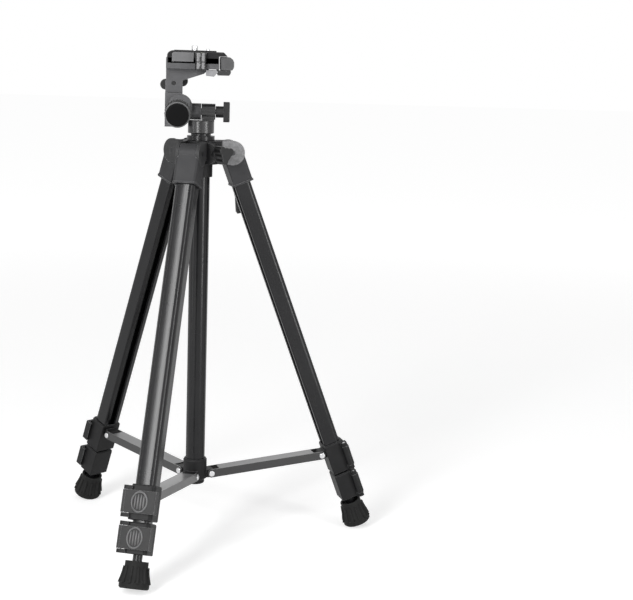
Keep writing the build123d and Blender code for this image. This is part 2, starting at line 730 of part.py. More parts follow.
with BuildPart() as crank_arm:
    with BuildLine(crank_side) as arm_path:
        FilletPolyline(
            (0, 0),
            (crank_arm_length * 0.22, 0),
            (crank_arm_length * 0.75, crank_swing),
            (crank_arm_length - 4.5, crank_swing),
            radius=9,
        )
    with BuildSketch(Plane(arm_path.line @ 0, z_dir=arm_path.line % 0)):
        Circle(crank_arm_radius)
    sweep()
    with BuildSketch(shaft_plane(crank_root - 3)):
        Circle(shaft_radius + 2.2)
    extrude(amount=6)
    with BuildSketch(crank_side.offset(-crank_arm_radius)):
        with Locations((crank_arm_length, crank_swing)):
            Circle(3.4)
        with Locations((crank_arm_length - 6, crank_swing)):
            Rectangle(6, 2 * crank_arm_radius, align=(Align.MIN, Align.CENTER))
    extrude(amount=2 * crank_arm_radius)
    with BuildSketch(crank_side.offset(-8)):
        with Locations((crank_arm_length, crank_swing)):
            Circle(1.2 + running)
    extrude(amount=16, mode=Mode.SUBTRACT)
    with BuildSketch(shaft_plane(crank_root - 8)):
        Circle(shaft_radius + seat)
    extrude(amount=11 + seat, mode=Mode.SUBTRACT)
keep("crank_arm", crank_arm.part)

knob_side = Plane(knob_pivot, x_dir=shaft_direction, z_dir=crank_side.z_dir * -1)
with BuildPart() as crank_knob:
    with BuildSketch(knob_side):
        with BuildLine():
            Polyline(
                (0, 5.0),
                (crank_knob_top_radius, 5.0),
                (crank_knob_radius, crank_knob_length - 3),
                (crank_knob_radius - 1.2, crank_knob_length),
                (0, crank_knob_length),
                close=True,
            )
        make_face()
    revolve(axis=Axis(knob_pivot, hang))
    for side in (-1, 1):
        with BuildSketch(crank_side.offset(side * (crank_arm_radius + gap))):
            with Locations((crank_arm_length, crank_swing)):
                Circle(3.0)
                Rectangle(8, 6.0, align=(Align.MIN, Align.CENTER))
        extrude(amount=side * 1.4)
    with BuildSketch(crank_side.offset(-crank_arm_radius - gap - 1.4)):
        with Locations((crank_arm_length, crank_swing)):
            Circle(1.2)
    extrude(amount=2 * (crank_arm_radius + gap + 1.4))
keep("crank_knob", crank_knob.part)

with BuildPart() as column_lock_knob:
    knob_face = lock_plane.offset(lock_boss_reach + gap)
    with BuildSketch(knob_face):
        Circle(lock_knob_radius * 0.66)
        with PolarLocations(lock_knob_radius * 0.62, lock_knob_lobes, start_angle=50):
            Circle(lock_knob_radius * 0.4)
    extrude(amount=lock_knob_height)
    fillet(column_lock_knob.edges().filter_by(GeomType.LINE), 1.2)
    fillet(column_lock_knob.faces().sort_by(Axis(lock_plane.origin, lock_plane.z_dir))[-1].edges(), 1.0)
    with BuildSketch(lock_plane.offset(column_radius + gap)):
        Circle(lock_screw_radius)
    extrude(amount=lock_boss_reach - column_radius + 1)
keep("column_lock_knob", column_lock_knob.part)


# ---------------------------------------------------------------- head
def head_plane(x, height):
    """The plane across the head's left-right axis, at X, with Y towards -Y of the model and Z up."""
    return Plane((x, 0, height), x_dir=(0, 1, 0), z_dir=(1, 0, 0))


def front_plane(y, height=0.0):
    """The plane facing the operator at Y, with X to the right and Y up."""
    return Plane((0, y, shoulder_top + height), x_dir=(1, 0, 0), z_dir=(0, -1, 0))


with BuildPart() as pan_housing:
    with BuildSketch(Plane.XY.offset(shoulder_top + column_neck_top + gap)):
        Circle(pan_base_radius)
    extrude(amount=pan_base_top - column_neck_top - gap)
    fillet(pan_housing.edges(), 0.8)
    with BuildSketch(head_plane(barrel_split + gap / 2, tilt_height)):
        Circle(barrel_radius)
    extrude(amount=barrel_right - barrel_split - gap / 2)
    with BuildSketch(Plane.XY.offset(shoulder_top + pan_base_top - 1)):
        with Locations((barrel_right / 2 + gap / 4, 0)):
            Rectangle(barrel_right - barrel_split - gap / 2 - 2, 2 * barrel_radius - 3)
    extrude(amount=tilt_axis - pan_base_top + 1)
    with BuildSketch(head_plane(0, tilt_height)):
        Circle(tilt_shaft_radius + running)
    extrude(amount=barrel_right, mode=Mode.SUBTRACT)
    with BuildSketch(head_plane(0, tilt_height)):
        Circle(barrel_radius + gap)
    extrude(amount=-pan_base_radius, mode=Mode.SUBTRACT)
    with BuildSketch(Plane.XY.offset(shoulder_top + column_neck_top)):
        Circle(pan_stud_radius + running)
    extrude(amount=pan_base_top - column_neck_top - 4 + gap, mode=Mode.SUBTRACT)
keep("pan_housing", pan_housing.part)

with BuildPart() as tilt_lock_knob:
    with BuildSketch(head_plane(barrel_right + gap, tilt_height)):
        Circle(tilt_boss_radius)
    extrude(amount=tilt_boss_right - barrel_right - gap)
    with BuildSketch(head_plane(tilt_boss_right, tilt_height)):
        RectangleRounded(tilt_knob_width, tilt_knob_height, 2.5)
    extrude(amount=tilt_knob_thickness)
    fillet(tilt_lock_knob.faces().sort_by(Axis.X)[-1].edges(), 1.0)
    with BuildSketch(head_plane(barrel_right + gap, tilt_height)):
        Circle(tilt_shaft_radius - 1.0 + running)
    extrude(amount=6, mode=Mode.SUBTRACT)
keep("tilt_lock_knob", tilt_lock_knob.part)

with BuildPart() as tilt_arm:
    # the block at the left end of the tilt axis
    with BuildSketch(head_plane(arm_left, shoulder_top)):
        with BuildLine():
            Polyline(
                (arm_front, arm_bottom),
                (arm_rear, arm_bottom),
                (arm_rear, arm_split - 4),
                (arm_front, arm_split - 4),
                close=True,
            )
        make_face()
    extrude(amount=arm_right - arm_left)
    # the lip in front of the platform's foot and the ear behind it
    with BuildSketch(Plane.XY.offset(shoulder_top + arm_split - 5)):
        with Locations((arm_left, arm_front)):
            Rectangle(arm_right - arm_left, flip_plate_front - gap - arm_front, align=(Align.MIN, Align.MIN))
    extrude(amount=5)
    ear_front = flip_plate_front + flip_plate_thickness + gap
    with BuildSketch(front_plane(ear_front)):
        with Locations((flip_x, flip_z)):
            Circle((arm_right - arm_left) / 2)
        with Locations((arm_left, arm_split - 5)):
            Rectangle(arm_right - arm_left, flip_z - arm_split + 5, align=(Align.MIN, Align.MIN))
    extrude(amount=-(arm_rear - ear_front))
    # the boss that the pan handle screws into
    with BuildSketch(front_plane(handle_boss_front)):
        with Locations((handle_x, handle_z)):
            Circle(handle_boss_radius)
    extrude(amount=-(arm_rear - 3 - handle_boss_front))
    fillet(tilt_arm.edges().filter_by(GeomType.CIRCLE).group_by(Axis.Y)[0], 1.2)
    # the half of the barrel that turns, and the tilt shaft through the other half
    with BuildSketch(head_plane(arm_right - 2, tilt_height)):
        Circle(barrel_radius)
    extrude(amount=barrel_split - gap / 2 - arm_right + 2)
    with BuildSketch(head_plane(barrel_split - 1, tilt_height)):
        Circle(tilt_shaft_radius)
    extrude(amount=barrel_right - barrel_split + 1)
    with BuildSketch(head_plane(barrel_split - 1, tilt_height)):
        Circle(tilt_shaft_radius - 1.0)
    extrude(amount=barrel_right - barrel_split + 6)
    with BuildSketch(front_plane(handle_boss_front)):
        with Locations((handle_x, handle_z)):
            Circle(handle_rod_radius + running)
    extrude(amount=-14, mode=Mode.SUBTRACT)
    with BuildSketch(front_plane(flip_plate_front - 5)):
        with Locations((flip_x, flip_z)):
            Circle(flip_screw_radius + running)
    extrude(amount=-30, mode=Mode.SUBTRACT)
keep("tilt_arm", tilt_arm.part)

with BuildPart() as handle_rod:
    with BuildSketch(front_plane(handle_boss_front + 12)):
        with Locations((handle_x, handle_z)):
            Circle(handle_rod_radius)
    extrude(amount=handle_length - 12 - grip_cap_height)
    fillet(handle_rod.edges().group_by(Axis.Y)[-1], 0.8)
keep("handle_rod", handle_rod.part)

grip_start = handle_length - grip_length
grip_side = Plane((handle_x, handle_boss_front, handle_height), x_dir=(1, 0, 0), z_dir=(0, 0, 1))
with BuildPart() as handle_grip:
    with BuildSketch(grip_side):
        with BuildLine():
            Spline(
                (grip_neck_radius, -grip_start),
                (grip_radius, -grip_start - grip_length * 0.45),
                (grip_cap_radius, -handle_length + grip_cap_height + gap),
            )
            Polyline(
                (grip_cap_radius, -handle_length + grip_cap_height + gap),
                (handle_rod_radius + seat, -handle_length + grip_cap_height + gap),
                (handle_rod_radius + seat, -grip_start),
                (grip_neck_radius, -grip_start),
            )
        make_face()
    revolve(axis=Axis((handle_x, 0, handle_height), (0, 1, 0)))
keep("handle_grip", handle_grip.part)

with BuildPart() as handle_cap:
    with BuildSketch(front_plane(handle_boss_front - handle_length + grip_cap_height)):
        with Locations((handle_x, handle_z)):
            Circle(grip_cap_radius)
    extrude(amount=grip_cap_height)
    fillet(handle_cap.edges().group_by(Axis.Y)[0], 1.6)
keep("handle_cap", handle_cap.part)

# ---------------------------------------------------------------- camera platform
platform_depth = platform_back - platform_front
platform_width = platform_right - platform_left
with BuildPart() as platform:
    with BuildSketch(Plane.XY.offset(shoulder_top + platform_bottom)):
        with Locations((platform_left, platform_front)):
            Rectangle(platform_width, platform_depth, align=(Align.MIN, Align.MIN))
    extrude(amount=platform_rim - platform_bottom)
    fillet(platform.edges().filter_by(Axis.Z), 2.0)
    with BuildSketch(Plane.XY.offset(shoulder_top + platform_floor)):
        with Locations((platform_left + platform_wall, platform_front + platform_wall)):
            Rectangle(platform_width, platform_depth - 2 * platform_wall, align=(Align.MIN, Align.MIN))
    extrude(amount=platform_rim, mode=Mode.SUBTRACT)
    # the foot that turns beside the tilt arm, and the rib under the platform
    with BuildSketch(front_plane(flip_plate_front)):
        with Locations((arm_left + 0.7, arm_split + gap)):
            Rectangle(arm_right - arm_left - 0.7, platform_bottom - arm_split, align=(Align.MIN, Align.MIN))
        with BuildLine():
            Polyline(
                (arm_right - 1, platform_bottom + 0.5),
                (arm_right - 1, flip_z + 2.5),
                (2, platform_bottom - 5),
                (8, platform_bottom + 0.5),
                close=True,
            )
        make_face()
    extrude(amount=-flip_plate_thickness)
    fillet(platform.edges().filter_by(Axis.Y).group_by(Axis.Z)[0], flip_foot_corner)
    with BuildSketch(front_plane(flip_plate_front - 1)):
        with Locations((flip_x, flip_z)):
            Circle(flip_screw_radius + seat)
    extrude(amount=-flip_plate_thickness - 2, mode=Mode.SUBTRACT)
keep("platform", platform.part)

with BuildPart() as flip_knob:
    with BuildSketch(front_plane(arm_rear + gap)):
        with Locations((flip_x, flip_z)):
            Circle(flip_knob_radius * 0.5)
            with PolarLocations(flip_knob_radius * 0.62, 2, start_angle=12):
                Circle(flip_knob_radius * 0.38)
    extrude(amount=-flip_knob_height)
    with BuildSketch(front_plane(flip_plate_front + gap)):
        with Locations((flip_x, flip_z)):
            Circle(flip_screw_radius)
    extrude(amount=-(arm_rear - flip_plate_front + 1))
keep("flip_knob", flip_knob.part)

plate_left = platform_left + platform_wall + plate_margin
plate_right = plate_lever_left - plate_margin
plate_front = platform_front + platform_wall + plate_margin
plate_back = platform_back - platform_wall - plate_margin
plate_middle_y = (plate_front + plate_back) / 2
with BuildPart() as quick_release_plate:
    with BuildSketch(Plane.XY.offset(shoulder_top + platform_floor)):
        with Locations((plate_left, plate_front)):
            Rectangle(plate_right - plate_left, plate_back - plate_front, align=(Align.MIN, Align.MIN))
    extrude(amount=plate_top - platform_floor)
    fillet(quick_release_plate.edges().filter_by(Axis.Z), 1.5)
    with BuildSketch(Plane.XY.offset(shoulder_top + platform_rim + gap)):
        with Locations((platform_left + 1, platform_front)):
            Rectangle(plate_right - platform_left - 1, platform_depth, align=(Align.MIN, Align.MIN))
    extrude(amount=plate_top - platform_rim - gap)
    with BuildSketch(Plane.XY.offset(shoulder_top + plate_top - pad_recess)):
        with Locations((plate_left + pad_border, plate_front + pad_border)):
            Rectangle(
                plate_right - plate_left - 2 * pad_border,
                plate_back - plate_front - 2 * pad_border,
                align=(Align.MIN, Align.MIN),
            )
    extrude(amount=pad_recess, mode=Mode.SUBTRACT)
    with BuildSketch(Plane.XY.offset(shoulder_top + platform_floor)):
        with Locations((camera_screw_x, plate_middle_y)):
            Circle(camera_thread_radius + sliding)
            with Locations((plate_pin_spacing, 0)):
                Circle(plate_pin_radius + running)
    extrude(amount=plate_top, mode=Mode.SUBTRACT)
    with BuildSketch(Plane.XY.offset(shoulder_top + platform_floor)):
        with Locations((camera_screw_x, plate_middle_y)):
            Circle(camera_screw_head_radius + gap)
    extrude(amount=camera_screw_head_height + 2 * gap, mode=Mode.SUBTRACT)
keep("quick_release_plate", quick_release_plate.part)

with BuildPart() as plate_pad:
    with BuildSketch(Plane.XY.offset(shoulder_top + plate_top - pad_recess)):
        with Locations((plate_left + pad_border + seat, plate_front + pad_border + seat)):
            Rectangle(
                plate_right - plate_left - 2 * pad_border - 2 * seat,
                plate_back - plate_front - 2 * pad_border - 2 * seat,
                align=(Align.MIN, Align.MIN),
            )
        with Locations((camera_screw_x, plate_middle_y)):
            Circle(camera_thread_radius + 1.2, mode=Mode.SUBTRACT)
            with Locations((plate_pin_spacing, 0)):
                Circle(plate_pin_radius + 0.8, mode=Mode.SUBTRACT)
    extrude(amount=pad_thickness)
keep("plate_pad", plate_pad.part)

pad_top = plate_top - pad_recess + pad_thickness
thread_start = pad_top + gap  # the screw's neck ends here
with BuildPart() as camera_screw:
    with BuildSketch(Plane.XY.offset(shoulder_top + platform_floor + gap)):
        with Locations((camera_screw_x, plate_middle_y)):
            Circle(camera_screw_head_radius)
    extrude(amount=camera_screw_head_height)
    with BuildSketch(Plane.XY.offset(shoulder_top + platform_floor + gap)):
        with Locations((camera_screw_x, plate_middle_y)):
            Circle(camera_neck_radius)
    extrude(amount=thread_start - platform_floor - gap)
    with BuildSketch(Plane.XY.offset(shoulder_top + thread_start)):
        with Locations((camera_screw_x, plate_middle_y)):
            Circle(camera_thread_radius)
    extrude(amount=camera_thread_length + camera_thread_tip)
    chamfer(camera_screw.edges().group_by(Axis.Z)[-1], camera_thread_tip)
keep("camera_screw", camera_screw.part)

with BuildPart() as plate_pin:
    with BuildSketch(Plane.XY.offset(shoulder_top + platform_floor + 4)):
        with Locations((camera_screw_x + plate_pin_spacing, plate_middle_y)):
            Circle(plate_pin_radius)
    extrude(amount=pad_top + plate_pin_height - platform_floor - 4)
    fillet(plate_pin.edges().group_by(Axis.Z)[-1], 0.6)
keep("plate_pin", plate_pin.part)

with BuildPart() as plate_lever:
    with BuildSketch(Plane.XY.offset(shoulder_top + platform_floor + gap)):
        with Locations((plate_lever_x, plate_lever_y)):
            Circle(plate_lever_barrel)
        with Locations((plate_lever_left, platform_front + platform_wall + gap)):
            Rectangle(
                plate_lever_length,
                plate_lever_y - platform_front - platform_wall - gap,
                align=(Align.MIN, Align.MIN),
            )
    extrude(amount=plate_lever_height)
    fillet(plate_lever.faces().sort_by(Axis.X)[-1].edges(), 1.6)
keep("plate_lever", plate_lever.part)

# ---------------------------------------------------------------- to the origin and out to files
whole = Compound(children=[Compound(part.wrapped) for part in pieces.values()]).bounding_box()
origin_shift = Vector(-(whole.min.X + whole.max.X) / 2, -(whole.min.Y + whole.max.Y) / 2, -whole.min.Z)

os.makedirs("parts", exist_ok=True)
for name, part in pieces.items():
    placed = part.moved(Location(origin_shift))
    placed.label = name
    export_step(placed, f"parts/{name}.step")
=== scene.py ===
import json
import math

import bmesh
import bpy
from mathutils import Matrix, Vector
from mathutils.bvhtree import BVHTree


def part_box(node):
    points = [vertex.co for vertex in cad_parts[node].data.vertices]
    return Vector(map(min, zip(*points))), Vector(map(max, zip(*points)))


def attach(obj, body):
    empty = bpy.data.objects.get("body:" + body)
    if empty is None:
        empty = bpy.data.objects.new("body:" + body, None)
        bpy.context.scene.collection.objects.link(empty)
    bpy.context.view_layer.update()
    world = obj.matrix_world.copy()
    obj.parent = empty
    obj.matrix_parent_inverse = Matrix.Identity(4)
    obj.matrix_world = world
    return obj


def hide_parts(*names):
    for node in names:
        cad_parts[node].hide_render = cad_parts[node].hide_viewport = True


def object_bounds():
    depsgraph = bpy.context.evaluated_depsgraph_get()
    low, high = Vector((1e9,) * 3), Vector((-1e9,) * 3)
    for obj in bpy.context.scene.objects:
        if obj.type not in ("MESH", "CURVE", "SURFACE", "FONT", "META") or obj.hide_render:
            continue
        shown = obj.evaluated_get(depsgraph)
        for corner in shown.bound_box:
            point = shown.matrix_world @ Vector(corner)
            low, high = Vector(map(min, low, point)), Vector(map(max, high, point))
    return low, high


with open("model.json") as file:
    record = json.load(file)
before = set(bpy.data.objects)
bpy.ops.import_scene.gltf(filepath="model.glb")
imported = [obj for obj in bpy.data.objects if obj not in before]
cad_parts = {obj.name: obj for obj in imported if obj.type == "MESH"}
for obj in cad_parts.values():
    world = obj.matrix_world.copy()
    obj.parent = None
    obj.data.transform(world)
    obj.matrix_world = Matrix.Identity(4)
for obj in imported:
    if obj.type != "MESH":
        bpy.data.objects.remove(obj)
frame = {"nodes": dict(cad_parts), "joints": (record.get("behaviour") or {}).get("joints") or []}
cad_low, cad_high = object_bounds()
nodes = frame["nodes"]
joints = {joint["name"]: joint for joint in frame["joints"]}


# ------------------------------------------------------------ aluminium tubes
# Leg sections, guide tube and column are drawn aluminium, anodised black.
# The die leaves fine lines along each tube, and the dyed film is a little
# uneven. They were cut to length and pushed into their moulded sockets.
def value_input(group, name, value):
    """A named number on the way into a node group."""
    socket = group.interface.new_socket(name, in_out="INPUT", socket_type="NodeSocketFloat")
    socket.default_value = value


def group_nodes(name, kind="ShaderNodeTree"):
    """An empty node group with its two ends."""
    group = bpy.data.node_groups.new(name, kind)
    return group, group.nodes.new("NodeGroupInput"), group.nodes.new("NodeGroupOutput")


def new_node(tree, kind, **values):
    """A node with plain values on its named inputs."""
    node = tree.nodes.new(kind)
    for name, value in values.items():
        node.inputs[name.replace("_", " ")].default_value = value
    return node


def feed(tree, socket, value):
    """A link to a socket, or a plain number on it."""
    if isinstance(value, (int, float)):
        socket.default_value = value
    elif value is not None:
        tree.links.new(value, socket)


def math_node(tree, operation, first, second=None, clamp=False):
    """A Math node fed by sockets or by plain numbers."""
    node = tree.nodes.new("ShaderNodeMath")
    node.operation = operation
    node.use_clamp = clamp
    feed(tree, node.inputs[0], first)
    feed(tree, node.inputs[1], second)
    return node.outputs[0]


def noise_node(tree, vector, scale, detail=3.0, roughness=0.5):
    """A noise pattern read at a vector, its scale a number or a socket."""
    node = new_node(tree, "ShaderNodeTexNoise", Detail=detail, Roughness=roughness)
    tree.links.new(vector, node.inputs["Vector"])
    feed(tree, node.inputs["Scale"], scale)
    return node.outputs["Fac"]


def drawn_lines_group():
    """Die lines along a tube whose length is the pattern's Z, and clouds in the film."""
    group, start, end = group_nodes("drawn lines")
    group.interface.new_socket("Vector", in_out="INPUT", socket_type="NodeSocketVector")
    value_input(group, "Lines per metre", 1400.0)
    value_input(group, "Clouds per metre", 30.0)
    group.interface.new_socket("Lines", in_out="OUTPUT", socket_type="NodeSocketFloat")
    group.interface.new_socket("Clouds", in_out="OUTPUT", socket_type="NodeSocketFloat")
    squeeze = group.nodes.new("ShaderNodeVectorMath")
    squeeze.operation = "MULTIPLY"
    squeeze.inputs[1].default_value = (1.0, 1.0, 0.012)
    group.links.new(start.outputs["Vector"], squeeze.inputs[0])
    lines = noise_node(group, squeeze.outputs[0], start.outputs["Lines per metre"], 2.0)
    clouds = noise_node(group, start.outputs["Vector"], start.outputs["Clouds per metre"])
    group.links.new(lines, end.inputs["Lines"])
    group.links.new(clouds, end.inputs["Clouds"])
    return group


def edge_highlight_group():
    """Where an edge is, for its painted highlight, and the normal of the small radius that it has."""
    group, start, end = group_nodes("painted edge highlight and rounding")
    value_input(group, "Edge radius", 0.0004)
    value_input(group, "Patchiness", 0.5)
    group.interface.new_socket("Edge", in_out="OUTPUT", socket_type="NodeSocketFloat")
    group.interface.new_socket("Normal", in_out="OUTPUT", socket_type="NodeSocketVector")
    rounded = group.nodes.new("ShaderNodeBevel")
    rounded.samples = 6
    group.links.new(start.outputs["Edge radius"], rounded.inputs["Radius"])
    flat = group.nodes.new("ShaderNodeNewGeometry")
    facing = group.nodes.new("ShaderNodeVectorMath")
    facing.operation = "DOT_PRODUCT"
    group.links.new(rounded.outputs["Normal"], facing.inputs[0])
    group.links.new(flat.outputs["Normal"], facing.inputs[1])
    # The edge mask paints edges paler, a painted highlight.
    turned = math_node(group, "SUBTRACT", 1.0, facing.outputs["Value"])
    edge = math_node(group, "MULTIPLY", turned, 7.0, clamp=True)
    place = group.nodes.new("ShaderNodeTexCoord")
    patches = noise_node(group, place.outputs["Object"], 160.0)
    kept = math_node(group, "MULTIPLY", patches, start.outputs["Patchiness"])
    rest = math_node(group, "SUBTRACT", 1.0, kept)
    group.links.new(math_node(group, "MULTIPLY", edge, rest), end.inputs["Edge"])
    group.links.new(rounded.outputs["Normal"], end.inputs["Normal"])
    return group


drawn_lines = drawn_lines_group()
edge_highlight_and_round = edge_highlight_group()


def new_finish(name):
    """A material with its Principled shader and the object's own coordinates."""
    material = bpy.data.materials.new(name)
    material.use_nodes = True
    tree = material.node_tree
    tree.nodes.clear()
    output = tree.nodes.new("ShaderNodeOutputMaterial")
    shader = tree.nodes.new("ShaderNodeBsdfPrincipled")
    tree.links.new(shader.outputs["BSDF"], output.inputs["Surface"])
    place = tree.nodes.new("ShaderNodeTexCoord")
    return material, tree, shader, place.outputs["Object"]


def use_group(tree, group, vector=None, **values):
    """A node group placed in a material with its own values."""
    node = tree.nodes.new("ShaderNodeGroup")
    node.node_tree = group
    if vector is not None:
        tree.links.new(vector, node.inputs["Vector"])
    for name, value in values.items():
        node.inputs[name.replace("_", " ")].default_value = value
    return node


def blend_colours(tree, factor, low, high):
    """A colour between two, by a socket's value."""
    node = tree.nodes.new("ShaderNodeMix")
    node.data_type = "RGBA"
    tree.links.new(factor, node.inputs[0])
    for socket, colour in ((node.inputs[6], low), (node.inputs[7], high)):
        if isinstance(colour, tuple):
            socket.default_value = (*colour, 1.0)
        else:
            tree.links.new(colour, socket)
    return node.outputs[2]


def ranged(tree, pattern, low, high, start=0.0, end=1.0):
    """A value that goes from low to high while a pattern goes from start to end."""
    node = new_node(tree, "ShaderNodeMapRange", From_Min=start, From_Max=end, To_Min=low, To_Max=high)
    tree.links.new(pattern, node.inputs["Value"])
    return node.outputs["Result"]


def bump_from(tree, height, depth, normal=None):
    """The normal of a pattern of that depth in metres."""
    node = new_node(tree, "ShaderNodeBump", Distance=depth)
    tree.links.new(height, node.inputs["Height"])
    if normal is not None:
        tree.links.new(normal, node.inputs["Normal"])
    return node.outputs["Normal"]


def reach_along(tree, vector, direction):
    """How far a vector reaches along a direction."""
    node = tree.nodes.new("ShaderNodeVectorMath")
    node.operation = "DOT_PRODUCT"
    tree.links.new(vector, node.inputs[0])
    node.inputs[1].default_value = direction
    return node.outputs["Value"]


def crowned_height(tree, place, across, middle, radius):
    """The height of a face that is rounded across its width, to a radius."""
    offset = math_node(tree, "SUBTRACT", reach_along(tree, place, across), middle)
    return math_node(tree, "MULTIPLY", math_node(tree, "MULTIPLY", offset, offset), -0.5 / radius)


def anodised(name, direction, crown=None):
    """Black anodised aluminium drawn along a direction, its front face crowned where one is given."""
    dark, light = (0.004, 0.004, 0.0045), (0.011, 0.011, 0.012)
    material, tree, shader, place = new_finish(name)
    upright = direction.rotation_difference(Vector((0, 0, 1))).to_euler()
    turn = new_node(tree, "ShaderNodeMapping", Rotation=upright)
    tree.links.new(place, turn.inputs["Vector"])
    lines = use_group(tree, drawn_lines, turn.outputs["Vector"])
    edges = use_group(tree, edge_highlight_and_round, Edge_radius=0.0005)
    film = blend_colours(tree, lines.outputs["Clouds"], dark, light)
    # The tube's edges are painted paler, a painted highlight.
    colour = blend_colours(tree, edges.outputs["Edge"], film, (0.035, 0.035, 0.037))
    tree.links.new(colour, shader.inputs["Base Color"])
    tree.links.new(ranged(tree, lines.outputs["Lines"], 0.18, 0.3), shader.inputs["Roughness"])
    surface = edges.outputs["Normal"]
    if crown is not None:
        surface = bump_from(tree, crowned_height(tree, place, *crown), 1.0, surface)
    tree.links.new(bump_from(tree, lines.outputs["Lines"], 0.00001, surface), shader.inputs["Normal"])
    shader.inputs["Specular IOR Level"].default_value = 0.26
    return material


def dress(node, material):
    """Give a CAD node its finish."""
    slots = nodes[node].data.materials
    slots.clear()
    slots.append(material)


leg_names = ("front", "right", "left")
down_leg = {leg: Vector(joints[f"{leg}_middle_extend"]["axis"]) for leg in leg_names}
across_leg = {leg: Vector(joints[f"{leg}_brace_fold"]["axis"]) for leg in leg_names}
tube_crown = 0.045
for leg in leg_names:
    hinge = Vector(joints[f"{leg}_brace_fold"]["pos_m"])
    leg_aluminium = anodised(f"anodised aluminium {leg} leg", down_leg[leg],
                             (across_leg[leg], hinge.dot(across_leg[leg]), tube_crown))
    for section in ("upper", "middle", "lower"):
        dress(f"{leg}_{section}_tube", leg_aluminium)
upright_aluminium = anodised("anodised aluminium upright", Vector((0, 0, 1)))
dress("guide_tube", upright_aluminium)
dress("centre_column", upright_aluminium)


# ------------------------------------------------------------ leg tops and clamps
# The leg tops are grey glass-filled nylon and the clamps are black nylon.
# Their tools were spark-eroded, which leaves a fine even grain, and their
# edges are painted paler as a painted highlight.
def moulded_grain_group():
    """Spark-eroded grain, and the slow mottle of filled plastic."""
    group, start, end = group_nodes("moulded grain")
    group.interface.new_socket("Vector", in_out="INPUT", socket_type="NodeSocketVector")
    value_input(group, "Grains per metre", 2200.0)
    value_input(group, "Mottle per metre", 70.0)
    group.interface.new_socket("Grain", in_out="OUTPUT", socket_type="NodeSocketFloat")
    group.interface.new_socket("Mottle", in_out="OUTPUT", socket_type="NodeSocketFloat")
    grain = noise_node(group, start.outputs["Vector"], start.outputs["Grains per metre"], 2.0, 0.6)
    mottle = noise_node(group, start.outputs["Vector"], start.outputs["Mottle per metre"], 4.0)
    group.links.new(grain, end.inputs["Grain"])
    group.links.new(mottle, end.inputs["Mottle"])
    return group


moulded_grain = moulded_grain_group()


def moulded(name, dark, light, edge, grains=2200.0, depth=0.00006, rough=(0.38, 0.6),
            radius=0.0005, gloss=0.16):
    """A grained plastic or rubber, its edges painted paler as a painted highlight."""
    material, tree, shader, place = new_finish(name)
    grain = use_group(tree, moulded_grain, place, Grains_per_metre=grains)
    edges = use_group(tree, edge_highlight_and_round, Edge_radius=radius)
    body = blend_colours(tree, grain.outputs["Mottle"], dark, light)
    colour = blend_colours(tree, edges.outputs["Edge"], body, edge)
    tree.links.new(colour, shader.inputs["Base Color"])
    tree.links.new(ranged(tree, grain.outputs["Grain"], *rough), shader.inputs["Roughness"])
    tree.links.new(bump_from(tree, grain.outputs["Grain"], depth, edges.outputs["Normal"]),
                   shader.inputs["Normal"])
    shader.inputs["Specular IOR Level"].default_value = gloss
    return material


grey_nylon = moulded("grey nylon", (0.02, 0.02, 0.021), (0.042, 0.042, 0.044), (0.3, 0.3, 0.305))
black_nylon = moulded("black nylon", (0.005, 0.005, 0.0053), (0.013, 0.013, 0.0135),
                      (0.16, 0.16, 0.163))
for leg in leg_names:
    dress(f"{leg}_leg_cap", grey_nylon)
    dress(f"{leg}_upper_clamp", black_nylon)
    dress(f"{leg}_lower_clamp", black_nylon)


# ------------------------------------------------------------ flip levers
# Each lever is one black nylon moulding that snaps over its clamp's front.
# A raised rim runs round its face, with upright grip ribs inside it that get
# shorter towards the rim's ends. The rim and ribs are painted pale grey as
# painted highlights.
lever_nylon = moulded("lever nylon", (0.004, 0.004, 0.0042), (0.012, 0.012, 0.0123), (0.3, 0.3, 0.305),
                      rough=(0.36, 0.5), gloss=0.2)


def leg_axes(leg):
    """Across, outward and upward axes of a leg as it stands open."""
    up = -down_leg[leg]
    across = across_leg[leg]
    outward = across.cross(up)
    return across, outward, up


def span_along(node, axis):
    """Lowest and highest reach of a CAD node along an axis."""
    reach = [vertex.co.dot(axis) for vertex in nodes[node].data.vertices]
    return min(reach), max(reach)


def socket_input(group, name, kind, value=None):
    """A named input of a geometry tree; returns its identifier."""
    socket = group.interface.new_socket(name, in_out="INPUT", socket_type=kind)
    if value is not None:
        socket.default_value = value
    return socket.identifier


def vector_of(tree, x, y, z):
    """A vector of three sockets or plain numbers."""
    node = tree.nodes.new("ShaderNodeCombineXYZ")
    for socket, value in zip(node.inputs, (x, y, z)):
        feed(tree, socket, value)
    return node.outputs[0]


def coat_and_finish(group, start, end, geometry):
    """The end of a geometry tree: real copies, coated with the tree's own finish."""
    group.interface.new_socket("Geometry", in_out="OUTPUT", socket_type="NodeSocketGeometry")
    real = group.nodes.new("GeometryNodeRealizeInstances")
    group.links.new(geometry, real.inputs[0])
    coat = group.nodes.new("GeometryNodeSetMaterial")
    group.links.new(real.outputs[0], coat.inputs["Geometry"])
    group.links.new(start.outputs["Finish"], coat.inputs["Material"])
    group.links.new(coat.outputs[0], end.inputs["Geometry"])


